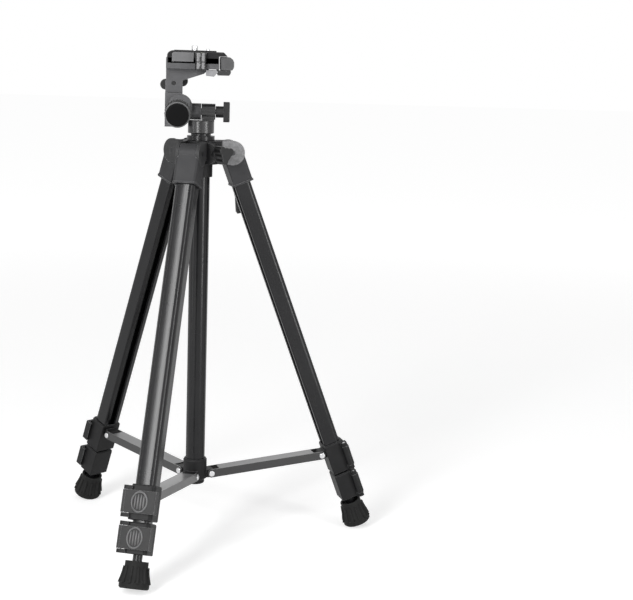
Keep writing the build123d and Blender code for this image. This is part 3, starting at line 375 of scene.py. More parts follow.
def lever_face_tree():
    """An oval rim with upright ribs inside it, in the plane of X and Z, standing out along -Y."""
    group, start, end = group_nodes("lever face", "GeometryNodeTree")
    keys = {
        "ribs": socket_input(group, "Ribs", "NodeSocketInt", 5),
        "width": socket_input(group, "Half width", "NodeSocketFloat", 0.008),
        "height": socket_input(group, "Half height", "NodeSocketFloat", 0.009),
        "rib": socket_input(group, "Rib radius", "NodeSocketFloat", 0.0006),
        "finish": socket_input(group, "Finish", "NodeSocketMaterial"),
    }
    link = group.links.new
    width, height = start.outputs["Half width"], start.outputs["Half height"]
    rib = start.outputs["Rib radius"]

    circle = new_node(group, "GeometryNodeCurvePrimitiveCircle", Resolution=48, Radius=1.0)
    oval = group.nodes.new("GeometryNodeTransform")
    link(circle.outputs["Curve"], oval.inputs["Geometry"])
    link(vector_of(group, width, height, 1.0), oval.inputs["Scale"])
    upright = new_node(group, "GeometryNodeTransform", Rotation=(math.pi / 2, 0, 0))
    link(oval.outputs[0], upright.inputs["Geometry"])
    bead = new_node(group, "GeometryNodeCurvePrimitiveCircle", Resolution=8)
    link(rib, bead.inputs["Radius"])
    rim = group.nodes.new("GeometryNodeCurveToMesh")
    link(upright.outputs[0], rim.inputs["Curve"])
    link(bead.outputs["Curve"], rim.inputs["Profile Curve"])

    row = group.nodes.new("GeometryNodeMeshLine")
    row.mode = "OFFSET"
    ribs = start.outputs["Ribs"]
    step = math_node(group, "DIVIDE", math_node(group, "MULTIPLY", width, 1.5), ribs)
    first = math_node(group, "MULTIPLY", math_node(
        group, "MULTIPLY", step, math_node(group, "SUBTRACT", ribs, 1.0)), -0.5)
    link(ribs, row.inputs["Count"])
    link(vector_of(group, first, 0.0, 0.0), row.inputs["Start Location"])
    link(vector_of(group, step, 0.0, 0.0), row.inputs["Offset"])
    bar = new_node(group, "GeometryNodeMeshUVSphere", Segments=10, Rings=14, Radius=1.0)
    place = group.nodes.new("GeometryNodeInputPosition")
    parts = group.nodes.new("ShaderNodeSeparateXYZ")
    link(place.outputs[0], parts.inputs[0])
    share = math_node(group, "DIVIDE", parts.outputs["X"], width)
    squared = math_node(group, "MULTIPLY", share, share)
    left_over = math_node(group, "SQRT", math_node(group, "SUBTRACT", 1.0, squared))
    length = math_node(group, "MULTIPLY", math_node(group, "MULTIPLY", left_over, height), 0.78)
    copies = group.nodes.new("GeometryNodeInstanceOnPoints")
    link(row.outputs["Mesh"], copies.inputs["Points"])
    link(bar.outputs["Mesh"], copies.inputs["Instance"])
    link(vector_of(group, rib, rib, length), copies.inputs["Scale"])

    both = group.nodes.new("GeometryNodeJoinGeometry")
    link(rim.outputs["Mesh"], both.inputs[0])
    link(copies.outputs["Instances"], both.inputs[0])
    coat_and_finish(group, start, end, both.outputs[0])
    return group, keys


def in_scene(name, data):
    """A new object that is linked to the scene."""
    piece = bpy.data.objects.new(name, data)
    bpy.context.scene.collection.objects.link(piece)
    return piece


def made_by_nodes(name, tree, inputs, place):
    """The plain mesh that a geometry tree makes, moved to its place on the object."""
    holder = in_scene("holder", bpy.data.meshes.new("holder"))
    modifier = holder.modifiers.new("tree", "NODES")
    modifier.node_group = tree
    for key, value in inputs.items():
        modifier[key] = value
    graph = bpy.context.evaluated_depsgraph_get()
    mesh = bpy.data.meshes.new_from_object(holder.evaluated_get(graph))
    bpy.data.objects.remove(holder)
    mesh.transform(place)
    return in_scene(name, mesh)


def smooth(piece):
    """Shade a rounded piece smooth."""
    for face in piece.data.polygons:
        face.use_smooth = True


def axes_at(origin, x_axis, y_axis, z_axis):
    """The matrix that takes a piece made at the origin to a place and its axes."""
    turn = Matrix((x_axis, y_axis, z_axis)).transposed().to_4x4()
    return Matrix.Translation(origin) @ turn


def skin_of(node):
    """A CAD node's surface, ready for rays."""
    mesh = nodes[node].data
    return BVHTree.FromPolygons([vertex.co for vertex in mesh.vertices],
                                [face.vertices for face in mesh.polygons])


def laid_on(piece, node, outward, level, lead=0.01, search=0.014):
    """Lay a piece that was made flat at a level on a CAD node's curved face."""
    skin = skin_of(node)
    for vertex in piece.data.vertices:
        height = vertex.co.dot(outward) - level
        start = vertex.co + outward * (lead - height)
        hit = skin.ray_cast(start, -outward, search)[0]
        if hit is not None:
            vertex.co = hit + outward * height


# The lever's rim and ribs are painted pale grey, a painted highlight.
lever_rib_highlight_nylon = moulded("lever rib painted highlight", (0.05, 0.05, 0.051), (0.15, 0.15, 0.153),
                       (0.36, 0.36, 0.365), rough=(0.25, 0.4), gloss=0.4)
lever_face, lever_keys = lever_face_tree()
lever_ribs = 4
rim_width_share, rim_height_share = 0.22, 0.44
rim_bead_radius = 0.00085
rim_shift = 0.0025
for leg in leg_names:
    across, outward, up = leg_axes(leg)
    for place in ("upper", "lower"):
        lever = f"{leg}_{place}_lever"
        dress(lever, lever_nylon)
        low_across, high_across = span_along(lever, across)
        low_up, high_up = span_along(lever, up)
        front = span_along(lever, outward)[1]
        middle = (across * (low_across + high_across + rim_shift) / 2
                  + up * (low_up + high_up) / 2 + outward * front)
        face = made_by_nodes(
            f"{lever}_grip", lever_face,
            {
                lever_keys["ribs"]: lever_ribs,
                lever_keys["width"]: (high_across - low_across) * rim_width_share,
                lever_keys["height"]: (high_up - low_up) * rim_height_share,
                lever_keys["rib"]: rim_bead_radius,
                lever_keys["finish"]: lever_rib_highlight_nylon,
            },
            axes_at(middle, across, -outward, up),
        )
        laid_on(face, lever, outward, front)
        smooth(face)
        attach(face, f"{leg}_{place}_lock")


# ------------------------------------------------------------ rivets and pins
# The braces turn on headed steel rivets and the levers on steel pins, plated
# and a little scuffed; the legs' pins in the shoulder are blackened. The
# crank's shaft, the camera screw and the plate's index pin are plated too.
def plated_steel(name, colour, rough):
    """Plated steel with fine turning marks."""
    material, tree, shader, place = new_finish(name)
    grain = use_group(tree, moulded_grain, place, Grains_per_metre=3000.0, Mottle_per_metre=240.0)
    tint = blend_colours(tree, grain.outputs["Mottle"], tuple(c * 0.72 for c in colour), colour)
    tree.links.new(tint, shader.inputs["Base Color"])
    tree.links.new(ranged(tree, grain.outputs["Grain"], *rough), shader.inputs["Roughness"])
    tree.links.new(bump_from(tree, grain.outputs["Grain"], 0.00001), shader.inputs["Normal"])
    shader.inputs["Metallic"].default_value = 1.0
    return material


bright_steel = plated_steel("plated steel", (0.66, 0.66, 0.67), (0.18, 0.36))
for leg in leg_names:
    dress(f"{leg}_leg_pins", bright_steel)
    dress(f"{leg}_lower_lever_pin", bright_steel)
dress("shoulder_pins", plated_steel("blackened steel", (0.06, 0.06, 0.062), (0.3, 0.5)))
for pin in ("hub_pins", "crank_shaft", "camera_screw", "plate_pin"):
    dress(pin, bright_steel)


# ------------------------------------------------------------ braces and hub
# The braces are folded strip steel in black stove enamel, their upper faces
# painted grey as a painted highlight, and riveted at both ends to black
# nylon: the hub that slides on the guide tube, and each leg's clamp.
def enamel(name, dark, light, edge):
    """Stove enamel on sheet steel, smooth with a slight orange peel, its edges painted paler as a painted
    highlight.
    """
    material, tree, shader, place = new_finish(name)
    peel = use_group(tree, moulded_grain, place, Grains_per_metre=900.0, Mottle_per_metre=40.0)
    edges = use_group(tree, edge_highlight_and_round, Edge_radius=0.0006)
    body = blend_colours(tree, peel.outputs["Mottle"], dark, light)
    tree.links.new(blend_colours(tree, edges.outputs["Edge"], body, edge), shader.inputs["Base Color"])
    tree.links.new(ranged(tree, peel.outputs["Mottle"], 0.3, 0.42), shader.inputs["Roughness"])
    tree.links.new(bump_from(tree, peel.outputs["Grain"], 0.00003, edges.outputs["Normal"]),
                   shader.inputs["Normal"])
    shader.inputs["Coat Weight"].default_value = 0.3
    shader.inputs["Coat Roughness"].default_value = 0.2
    return material


def parts_of(material):
    """A finish's tree, the object's coordinates in it, its colour, and where the colour goes in."""
    tree = material.node_tree
    place = next(node for node in tree.nodes if node.type == "TEX_COORD").outputs["Object"]
    base = next(node for node in tree.nodes if node.type == "BSDF_PRINCIPLED").inputs["Base Color"]
    return tree, place, base.links[0].from_socket, base


# This enamel's grey is a painted highlight of the light from above: faces that point up get it, and the
# rest are painted black.
enamel_with_painted_top_light = enamel("black enamel with painted top light", (0.12, 0.12, 0.122), (0.2, 0.2, 0.204), (0.36, 0.36, 0.365))
tree, _, painted_top_light_colour, base = parts_of(enamel_with_painted_top_light)
facing = tree.nodes.new("ShaderNodeNewGeometry")
black_below_slope, painted_light_above_slope = 0.3, 0.8
painted_top_light = ranged(tree, reach_along(tree, facing.outputs["Normal"], (0, 0, 1)), 0.0, 1.0,
                    black_below_slope, painted_light_above_slope)
tree.links.new(blend_colours(tree, painted_top_light, (0.012, 0.012, 0.0123), painted_top_light_colour), base)
for leg in leg_names:
    dress(f"{leg}_brace", enamel_with_painted_top_light)
dress("spreader_hub", black_nylon)
dress("guide_end_cap", black_nylon)


# ------------------------------------------------------------ feet
# The feet are black rubber, moulded with finger grooves and pushed on the end
# of the innermost tube. The rubber is dull, with a dusty bloom.
foot_rubber = moulded("foot rubber", (0.006, 0.006, 0.006), (0.016, 0.016, 0.0157),
                      (0.045, 0.045, 0.045), grains=1500.0, depth=0.00009, rough=(0.6, 0.78),
                      radius=0.0007)


def ring_of_bars_tree():
    """Round bars that stand in a ring round the Z axis."""
    group, start, end = group_nodes("ring of bars", "GeometryNodeTree")
    keys = {
        "count": socket_input(group, "Count", "NodeSocketInt", 16),
        "ring": socket_input(group, "Ring radius", "NodeSocketFloat", 0.01),
        "length": socket_input(group, "Length", "NodeSocketFloat", 0.02),
        "bar": socket_input(group, "Bar radius", "NodeSocketFloat", 0.001),
        "finish": socket_input(group, "Finish", "NodeSocketMaterial"),
    }
    link = group.links.new
    ring = group.nodes.new("GeometryNodeMeshCircle")
    link(start.outputs["Count"], ring.inputs["Vertices"])
    link(start.outputs["Ring radius"], ring.inputs["Radius"])
    bar = new_node(group, "GeometryNodeMeshCylinder", Vertices=8, Side_Segments=16, Radius=1.0, Depth=1.0)
    thick = start.outputs["Bar radius"]
    copies = group.nodes.new("GeometryNodeInstanceOnPoints")
    link(ring.outputs["Mesh"], copies.inputs["Points"])
    link(bar.outputs["Mesh"], copies.inputs["Instance"])
    link(vector_of(group, thick, thick, start.outputs["Length"]), copies.inputs["Scale"])
    coat_and_finish(group, start, end, copies.outputs["Instances"])
    return group, keys


def laid_round(piece, node, origin, axis, ring, lead=0.01, search=0.02):
    """Lay a piece that was made round a ring on a CAD node's turned side."""
    skin = skin_of(node)
    for vertex in piece.data.vertices:
        arm = vertex.co - origin
        height = axis * arm.dot(axis)
        outward = (arm - height).normalized()
        rise = (arm - height).length - ring
        start = origin + height + outward * (ring + lead)
        hit = skin.ray_cast(start, -outward, search)[0]
        if hit is not None:
            vertex.co = hit + outward * rise


ring_of_bars, ring_keys = ring_of_bars_tree()
foot_ribs = 12
foot_rib_radius = 0.0017
foot_rib_share = 0.6
for leg in leg_names:
    foot = f"{leg}_foot"
    dress(foot, foot_rubber)
    across, outward, up = leg_axes(leg)
    spans = [span_along(foot, axis) for axis in (across, outward, up)]
    heart = sum(((low + high) / 2 * axis
                 for (low, high), axis in zip(spans, (across, outward, up))), Vector())
    foot_radius = (spans[0][1] - spans[0][0]) / 2
    foot_height = spans[2][1] - spans[2][0]
    ribs = made_by_nodes(
        f"{leg}_foot_ribs", ring_of_bars,
        {
            ring_keys["count"]: foot_ribs,
            ring_keys["ring"]: foot_radius,
            ring_keys["length"]: foot_height * foot_rib_share,
            ring_keys["bar"]: foot_rib_radius,
            ring_keys["finish"]: foot_rubber,
        },
        axes_at(heart, across, -outward, up),
    )
    laid_round(ribs, foot, heart, up, foot_radius)
    smooth(ribs)
    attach(ribs, f"{leg}_lower_section")


# ------------------------------------------------------------ shoulder and crank
# The shoulder is one black nylon moulding that holds the guide tube, the
# crank's gear and the column's lock; its ears are faintly pale grey, and its
# right ear is painted fully pale as a painted highlight. The crank is bent
# steel rod, and its knob and the locking knobs are glossy black.
shoulder_nylon = moulded("shoulder nylon", (0.006, 0.006, 0.0063), (0.015, 0.015, 0.0155),
                         (0.1, 0.1, 0.104))
tree, place, body_colour, base = parts_of(shoulder_nylon)
column_axis = Vector(joints["column_lock_turn"]["pos_m"])
ear_grey_and_highlight_share = None
# The ears are faintly pale grey, and the right one fully pale: a painted highlight where it faces the
# light.
ear_grey_and_highlight = {"front": 0.12, "right": 1.0, "left": 0.12}
ear_root, ear_face = 0.0195, 0.0215
for leg in leg_names:
    outward = Vector((down_leg[leg].x, down_leg[leg].y, 0.0)).normalized()
    share = ranged(tree, reach_along(tree, place, outward), 0.0, ear_grey_and_highlight[leg],
                   outward.dot(column_axis) + ear_root, outward.dot(column_axis) + ear_face)
    ear_grey_and_highlight_share = share if ear_grey_and_highlight_share is None else math_node(tree, "MAXIMUM", ear_grey_and_highlight_share, share)
mottle = use_group(tree, moulded_grain, place, Grains_per_metre=2600.0, Mottle_per_metre=420.0)
ear_grey_and_highlight_colour = blend_colours(tree, mottle.outputs["Mottle"], (0.09, 0.09, 0.092), (0.34, 0.34, 0.345))
tree.links.new(blend_colours(tree, ear_grey_and_highlight_share, body_colour, ear_grey_and_highlight_colour), base)
dress("shoulder", shoulder_nylon)
dress("crank_arm", plated_steel("crank steel", (0.5, 0.5, 0.51), (0.3, 0.5)))
knob_plastic = moulded("knob plastic", (0.004, 0.004, 0.0042), (0.01, 0.01, 0.0103),
                       (0.05, 0.05, 0.052), rough=(0.26, 0.42), gloss=0.4)
for knob in ("crank_knob", "column_lock_knob", "tilt_lock_knob", "flip_knob"):
    dress(knob, knob_plastic)


# ------------------------------------------------------------ pan and tilt head
# The head's housings are moulded nylon, grey on the outer bracket and black
# round the tilt barrel. The handle is a tube in a fluted rubber grip, with a
# pale grey ring round its end cap, a painted highlight on the grip's rim.
def turned(name, outline, place, finish, steps=48):
    """A turned piece: an outline of radii and heights swept round the Z axis, closed at its ends."""
    rings, faces, points = [], [], []
    for radius, height in outline:
        if radius == 0:
            rings.append([len(points)] * steps)
            points.append((0.0, 0.0, height))
            continue
        rings.append([len(points) + step for step in range(steps)])
        for step in range(steps):
            angle = 2 * math.pi * step / steps
            points.append((radius * math.cos(angle), radius * math.sin(angle), height))
    for low, high in zip(rings, rings[1:] + rings[:1]):
        if low[0] == low[1] and high[0] == high[1]:
            continue
        for step in range(steps):
            onward = (step + 1) % steps
            corners = dict.fromkeys((low[step], low[onward], high[onward], high[step]))
            faces.append(tuple(corners))
    mesh = bpy.data.meshes.new(name)
    mesh.from_pydata(points, [], faces)
    shell = bmesh.new()
    shell.from_mesh(mesh)
    bmesh.ops.recalc_face_normals(shell, faces=shell.faces)
    shell.to_mesh(mesh)
    shell.free()
    mesh.transform(place)
    mesh.materials.append(finish)
    return in_scene(name, mesh)


def moulding(name, outline, low, high, place, finish, edge=0.0005):
    """An outline in X and Z pushed through from one Y to another, its edges rounded."""
    solid = bmesh.new()
    face = solid.faces.new([solid.verts.new((x, low, z)) for x, z in outline])
    pushed = bmesh.ops.extrude_face_region(solid, geom=[face])
    corners = [item for item in pushed["geom"] if isinstance(item, bmesh.types.BMVert)]
    bmesh.ops.translate(solid, verts=corners, vec=(0.0, high - low, 0.0))
    bmesh.ops.recalc_face_normals(solid, faces=solid.faces)
    sharp = [line for line in solid.edges if line.calc_face_angle(0.0) > 0.5]
    bmesh.ops.bevel(solid, geom=sharp, offset=edge, segments=2, profile=0.5, affect="EDGES")
    bmesh.ops.recalc_face_normals(solid, faces=solid.faces)
    mesh = bpy.data.meshes.new(name)
    solid.to_mesh(mesh)
    solid.free()
    mesh.transform(place)
    mesh.materials.append(finish)
    return in_scene(name, mesh)


bracket_greys = (0.06, 0.06, 0.062), (0.105, 0.105, 0.109), (0.27, 0.27, 0.275)
bracket_nylon = moulded("bracket nylon", *bracket_greys)
dress("pan_housing", moulded("pan nylon", (0.008, 0.008, 0.0083), (0.02, 0.02, 0.0205),
                             (0.16, 0.16, 0.163), rough=(0.2, 0.3), gloss=0.5))
dress("handle_cap", moulded("cap plastic", (0.0015, 0.0015, 0.0016), (0.004, 0.004, 0.0042),
                            (0.03, 0.03, 0.031), rough=(0.5, 0.65), gloss=0.06))

tilt_nylon = moulded("tilt nylon", *bracket_greys)
tree, place, outer_grey, base = parts_of(tilt_nylon)
barrel_end, barrel_start = 0.0122, 0.0118
barrel = ranged(tree, reach_along(tree, place, (1, 0, 0)), 0.0, 1.0,
                column_axis.x - barrel_end, column_axis.x - barrel_start)
scuffs = use_group(tree, moulded_grain, place, Grains_per_metre=2600.0, Mottle_per_metre=380.0)
barrel_black = blend_colours(tree, scuffs.outputs["Mottle"], (0.004, 0.004, 0.0042), (0.1, 0.1, 0.103))
tree.links.new(blend_colours(tree, barrel, outer_grey, barrel_black), base)
dress("tilt_arm", tilt_nylon)

handle_way = Vector(joints["handle_twist"]["axis"])
dress("handle_rod", anodised("anodised aluminium handle", handle_way))
grip_rubber = moulded("grip rubber", (0.006, 0.006, 0.006), (0.013, 0.013, 0.0128), (0.05, 0.05, 0.05),
                      grains=1600.0, depth=0.00009, rough=(0.55, 0.75), radius=0.0007)
dress("handle_grip", grip_rubber)
grip_low, grip_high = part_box("handle_grip")
grip_middle = (grip_low + grip_high) / 2
grip_radius = (grip_high.x - grip_low.x) / 2
grip_length = grip_high.y - grip_low.y
along_handle = axes_at(grip_middle, Vector((1, 0, 0)), Vector((0, 0, 1)), Vector((0, -1, 0)))

grip_flutes = 26
flute_radius = 0.0008
flute_share = 0.74
flutes = made_by_nodes(
    "handle_grip_flutes", ring_of_bars,
    {
        ring_keys["count"]: grip_flutes,
        ring_keys["ring"]: grip_radius,
        ring_keys["length"]: grip_length * flute_share,
        ring_keys["bar"]: flute_radius,
        ring_keys["finish"]: grip_rubber,
    },
    along_handle,
)
laid_round(flutes, "handle_grip", grip_middle, handle_way, grip_radius)
smooth(flutes)
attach(flutes, "handle")

# A thin pale grey ring on the grip's end, a painted highlight on its rim.
rim_highlight_grey = moulded("grip rim painted highlight", (0.1, 0.1, 0.102), (0.16, 0.16, 0.163), (0.3, 0.3, 0.305),
                    rough=(0.25, 0.4))
cap_radius = (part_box("handle_cap")[1].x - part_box("handle_cap")[0].x) / 2
ring_bore, ring_rim = cap_radius + 0.0002, grip_radius - 0.0002
grip_end = grip_length / 2
grip_rim_highlight = turned(
    "handle_grip_rim_highlight",
    [(ring_bore, grip_end), (ring_bore, grip_end + 0.0008), (grip_radius - 0.0009, grip_end + 0.0008),
     (ring_rim, grip_end + 0.0003), (ring_rim, grip_end)],
    along_handle, rim_highlight_grey,
)
smooth(grip_rim_highlight)
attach(grip_rim_highlight, "handle")


# ------------------------------------------------------------ camera platform
# The platform flips on its bracket and carries a round bubble level at its
# front, its holder ribbed with two raised bars painted pale grey as painted
# highlights. A stamped steel spring and a black box under its free end hold
# the release lever.
platform_low, platform_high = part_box("platform")
plate_low, plate_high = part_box("quick_release_plate")
level_radius = 0.006
level_at = Vector((column_axis.x - 0.0014, platform_low.y - 0.0022, 0.0))
tray_depth = 0.0115
tray_bottom = platform_high.z - tray_depth
level_top = plate_high.z - 0.0012
satin_black = moulded("satin black", (0.007, 0.007, 0.0073), (0.016, 0.016, 0.0165), (0.2, 0.2, 0.205),
                      rough=(0.16, 0.26), gloss=0.7)
waist = tray_bottom + (level_top - tray_bottom) * 0.45
level_holder = turned(
    "level_holder",
    [(0, tray_bottom), (level_radius - 0.0006, tray_bottom), (level_radius, tray_bottom + 0.0006),
     (level_radius, waist - 0.0004), (level_radius - 0.0006, waist), (level_radius, waist + 0.0004),
     (level_radius, level_top - 0.0005), (level_radius - 0.0005, level_top),
     (level_radius - 0.0014, level_top), (level_radius - 0.0016, level_top - 0.0012),
     (0, level_top - 0.0012)],
    Matrix.Translation(level_at), satin_black,
)
smooth(level_holder)
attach(level_holder, "camera_platform")

liquid, tree, shader, place = new_finish("level liquid")
cloud = noise_node(tree, place, 300.0)
tree.links.new(blend_colours(tree, cloud, (0.3, 0.42, 0.04), (0.38, 0.5, 0.07)),
               shader.inputs["Base Color"])
tree.links.new(ranged(tree, cloud, 0.04, 0.1), shader.inputs["Roughness"])
shader.inputs["Coat Weight"].default_value = 1.0
vial_radius = level_radius - 0.0017
vial_top = level_top - 0.0002
vial = turned(
    "level_vial",
    [(0, vial_top - 0.0009), (vial_radius, vial_top - 0.0009), (vial_radius, vial_top - 0.0003),
     (vial_radius * 0.7, vial_top - 0.0001), (0, vial_top)],
    Matrix.Translation(level_at), liquid,
)
smooth(vial)
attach(vial, "camera_platform")

bubble_glaze, tree, shader, place = new_finish("bubble glaze")
cloud = noise_node(tree, place, 500.0)
tree.links.new(blend_colours(tree, cloud, (0.66, 0.74, 0.4), (0.78, 0.84, 0.52)),
               shader.inputs["Base Color"])
tree.links.new(ranged(tree, cloud, 0.05, 0.12), shader.inputs["Roughness"])
bubble = turned(
    "level_bubble",
    [(0, vial_top - 0.0002), (0.0014, vial_top - 0.0002), (0.0012, vial_top + 0.0001),
     (0.0007, vial_top + 0.00025), (0, vial_top + 0.0003)],
    Matrix.Translation(level_at + Vector((0.0006, 0.0004, 0))), bubble_glaze, 24,
)
smooth(bubble)
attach(bubble, "camera_platform")

# Two pale grey bars up the level holder's front, painted highlights.
level_highlight_bars = bpy.data.meshes.new("level_highlight_bars")
ribs = bmesh.new()
rib_highlight_grey = moulded("rib painted highlight", (0.13, 0.13, 0.132), (0.24, 0.24, 0.243), (0.5, 0.5, 0.505),
                   rough=(0.2, 0.35), gloss=0.4)
from_axis = Matrix.Translation(Vector((column_axis.x, 0, 0)))
rib_width = 0.0028
rib_spans = (tray_bottom + 0.0008, waist - 0.0006), (waist + 0.0006, level_top - 0.0004)
for rib_left in (-0.0055, -0.0004):
    rib_right = rib_left + rib_width
    for rib_low, rib_high in rib_spans:
        bar = moulding(
            "rib", [(rib_left, rib_low), (rib_left, rib_high), (rib_right, rib_high), (rib_right, rib_low)],
            level_at.y - level_radius - 0.0004, level_at.y - level_radius * 0.6,
            from_axis, rib_highlight_grey, 0.0004,
        )
        ribs.from_mesh(bar.data)
        bpy.data.objects.remove(bar)
ribs.to_mesh(level_highlight_bars)
ribs.free()
level_highlight_bars.materials.append(rib_highlight_grey)
highlight_guard = in_scene("level_highlight_guard", level_highlight_bars)
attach(highlight_guard, "camera_platform")

tray_reach = 0.0176
tray_end = column_axis.x + tray_reach
body_mesh = nodes["platform"].data.copy()
body = bmesh.new()
body.from_mesh(body_mesh)
bmesh.ops.remove_doubles(body, verts=body.verts, dist=0.000002)
cut = bmesh.ops.bisect_plane(body, geom=body.verts[:] + body.edges[:] + body.faces[:], dist=0.0000001,
                             plane_co=(tray_end, 0, 0), plane_no=(1, 0, 0), clear_outer=True)
rim = [item for item in cut["geom_cut"] if isinstance(item, bmesh.types.BMEdge)]
bmesh.ops.holes_fill(body, edges=rim, sides=0)
bmesh.ops.recalc_face_normals(body, faces=body.faces)
body.to_mesh(body_mesh)
body.free()
body_mesh.materials.clear()
body_mesh.materials.append(bracket_nylon)
platform_body = in_scene("platform_body", body_mesh)
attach(platform_body, "camera_platform")
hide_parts("platform")

spring_steel = plated_steel("spring steel", (0.3, 0.3, 0.31), (0.25, 0.45))
release_spring = moulding(
    "release_spring",
    [(0.0040, tray_bottom - 0.0002), (0.0150, tray_bottom - 0.0002), (0.0162, tray_bottom - 0.0026),
     (0.0124, tray_bottom - 0.0070), (0.0042, tray_bottom - 0.0062)],
    platform_low.y + 0.0012, platform_low.y + 0.0102,
    from_axis, spring_steel, 0.0003,
)
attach(release_spring, "camera_platform")

release_box = moulding(
    "release_box",
    [(0.0146, tray_bottom + 0.0008), (0.0174, tray_bottom + 0.0008), (0.0178, tray_bottom - 0.0008),
     (0.0300, tray_bottom - 0.0008), (0.0296, tray_bottom - 0.0034), (0.0280, tray_bottom - 0.0056),
     (0.0160, tray_bottom - 0.0056)],
    platform_low.y + 0.0030, platform_high.y - 0.0060,
    from_axis, satin_black, 0.0005,
)
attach(release_box, "camera_platform")


# ------------------------------------------------------------ quick-release plate
# The plate is a black moulding with a round-nosed end and a grey panel along
# its front. A rubber pad faces its top, round the camera screw and its thread.
nose = 0.0052
nose_steps = 6
lever_low, lever_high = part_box("plate_lever")
plate_outline = [(plate_low.x, plate_low.z), (plate_low.x, plate_high.z - nose)]
for step in range(1, nose_steps):
    angle = math.pi / 2 * step / nose_steps
    plate_outline.append((plate_low.x + nose * (1 - math.cos(angle)),
                          plate_high.z - nose * (1 - math.sin(angle))))
plate_outline += [(plate_low.x + nose, plate_high.z), (tray_end + 0.0050, plate_high.z - 0.0008),
                  (tray_end + 0.0086, plate_high.z - 0.0046), (tray_end - 0.0002, plate_high.z - 0.0048),
                  (tray_end - 0.0002, plate_low.z)]
as_it_is = Matrix.Identity(4)
plate_body = moulding("plate_body", plate_outline, plate_low.y, plate_high.y, as_it_is, black_nylon, 0.0006)
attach(plate_body, "plate")
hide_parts("quick_release_plate")

panel_grey = moulded("panel grey", (0.1, 0.1, 0.102), (0.17, 0.17, 0.173), (0.42, 0.42, 0.425),
                     grains=1800.0, rough=(0.3, 0.45))
plate_panel = moulding(
    "plate_panel",
    [(plate_low.x + 0.0050, plate_low.z + 0.0022), (plate_low.x + 0.0050, plate_high.z - 0.0030),
     (plate_low.x + 0.0062, plate_high.z - 0.0014), (plate_low.x + 0.0272, plate_high.z - 0.0014),
     (plate_low.x + 0.0272, plate_low.z + 0.0022)],
    plate_low.y - 0.0005, plate_low.y + 0.0004, as_it_is, panel_grey, 0.0002,
)
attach(plate_panel, "plate")

dress("plate_pad", moulded("pad rubber", (0.01, 0.01, 0.01), (0.022, 0.022, 0.022),
                           (0.06, 0.06, 0.06), grains=1400.0, depth=0.00012, rough=(0.6, 0.8)))

lever_grey = moulded("lever grey", (0.04, 0.04, 0.041), (0.1, 0.1, 0.102), (0.42, 0.42, 0.425),
                     rough=(0.3, 0.45), gloss=0.3)
lever_top = plate_high.z - 0.0054
lever_pivot = Vector(joints["plate_lever_turn"]["pos_m"])
release_lever = moulding(
    "release_lever",
    [(0.0184, tray_bottom - 0.0002), (0.0184, lever_top), (0.0290, lever_top), (0.0318, lever_top - 0.0022),
     (0.0330, lever_top - 0.0050), (0.0330, tray_bottom + 0.0030), (0.0312, tray_bottom - 0.0002)],
    lever_low.y, lever_pivot.y, from_axis, lever_grey, 0.0009,
)
barrel_radius = lever_high.y - lever_pivot.y
barrel_low, barrel_high = tray_bottom + 0.0002, lever_top - 0.0005
lever_barrel = turned(
    "lever_barrel",
    [(0, barrel_low), (barrel_radius - 0.0004, barrel_low), (barrel_radius, tray_bottom + 0.0006),
     (barrel_radius, lever_top - 0.0009), (barrel_radius - 0.0004, barrel_high), (0, barrel_high)],
    Matrix.Translation(Vector((lever_pivot.x, lever_pivot.y, 0))), lever_grey,
)
whole_lever = bmesh.new()
whole_lever.from_mesh(release_lever.data)
whole_lever.from_mesh(lever_barrel.data)
whole_lever.to_mesh(release_lever.data)
whole_lever.free()
bpy.data.objects.remove(lever_barrel)
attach(release_lever, "plate_lock")
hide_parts("plate_lever")


def screw_thread_tree():
    """A round bead that winds up a screw's side."""
    group, start, end = group_nodes("screw thread", "GeometryNodeTree")
    keys = {
        "turns": socket_input(group, "Turns", "NodeSocketFloat", 3.0),
        "radius": socket_input(group, "Radius", "NodeSocketFloat", 0.003),
        "height": socket_input(group, "Height", "NodeSocketFloat", 0.004),
        "bead": socket_input(group, "Bead", "NodeSocketFloat", 0.0003),
        "finish": socket_input(group, "Finish", "NodeSocketMaterial"),
    }
    link = group.links.new
    winding = new_node(group, "GeometryNodeCurveSpiral", Resolution=32)
    link(start.outputs["Turns"], winding.inputs["Rotations"])
    link(start.outputs["Radius"], winding.inputs["Start Radius"])
    link(start.outputs["Radius"], winding.inputs["End Radius"])
    link(start.outputs["Height"], winding.inputs["Height"])
    bead = new_node(group, "GeometryNodeCurvePrimitiveCircle", Resolution=6)
    link(start.outputs["Bead"], bead.inputs["Radius"])
    swept = new_node(group, "GeometryNodeCurveToMesh", Fill_Caps=True)
    link(winding.outputs["Curve"], swept.inputs["Curve"])
    link(bead.outputs["Curve"], swept.inputs["Profile Curve"])
    coat_and_finish(group, start, end, swept.outputs["Mesh"])
    return group, keys


screw_thread, thread_keys = screw_thread_tree()
screw_low, screw_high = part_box("camera_screw")
pad_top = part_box("plate_pad")[1].z
thread_radius = 0.003
thread_bead = 0.0003
thread_pitch = 0.00127
thread_height = screw_high.z - pad_top - 0.0014
thread_foot = Vector(((screw_low.x + screw_high.x) / 2, (screw_low.y + screw_high.y) / 2,
                      pad_top + 0.0005))
thread = made_by_nodes(
    "camera_screw_thread", screw_thread,
    {
        thread_keys["turns"]: thread_height / thread_pitch,
        thread_keys["radius"]: thread_radius,
        thread_keys["height"]: thread_height,
        thread_keys["bead"]: thread_bead,
        thread_keys["finish"]: bright_steel,
    },
    Matrix.Translation(thread_foot),
)
smooth(thread)
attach(thread, "camera_bolt")


# ------------------------------------------------------------ studio
# A white floor under a large soft light, a bright strip at the front left, a
# narrow strip at each side that draws the long highlights down the tubes, and
# a weak fill from the front right.
axis_low, axis_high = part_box("guide_tube")
axis_point = (axis_low + axis_high) / 2
stand_height = cad_high.z

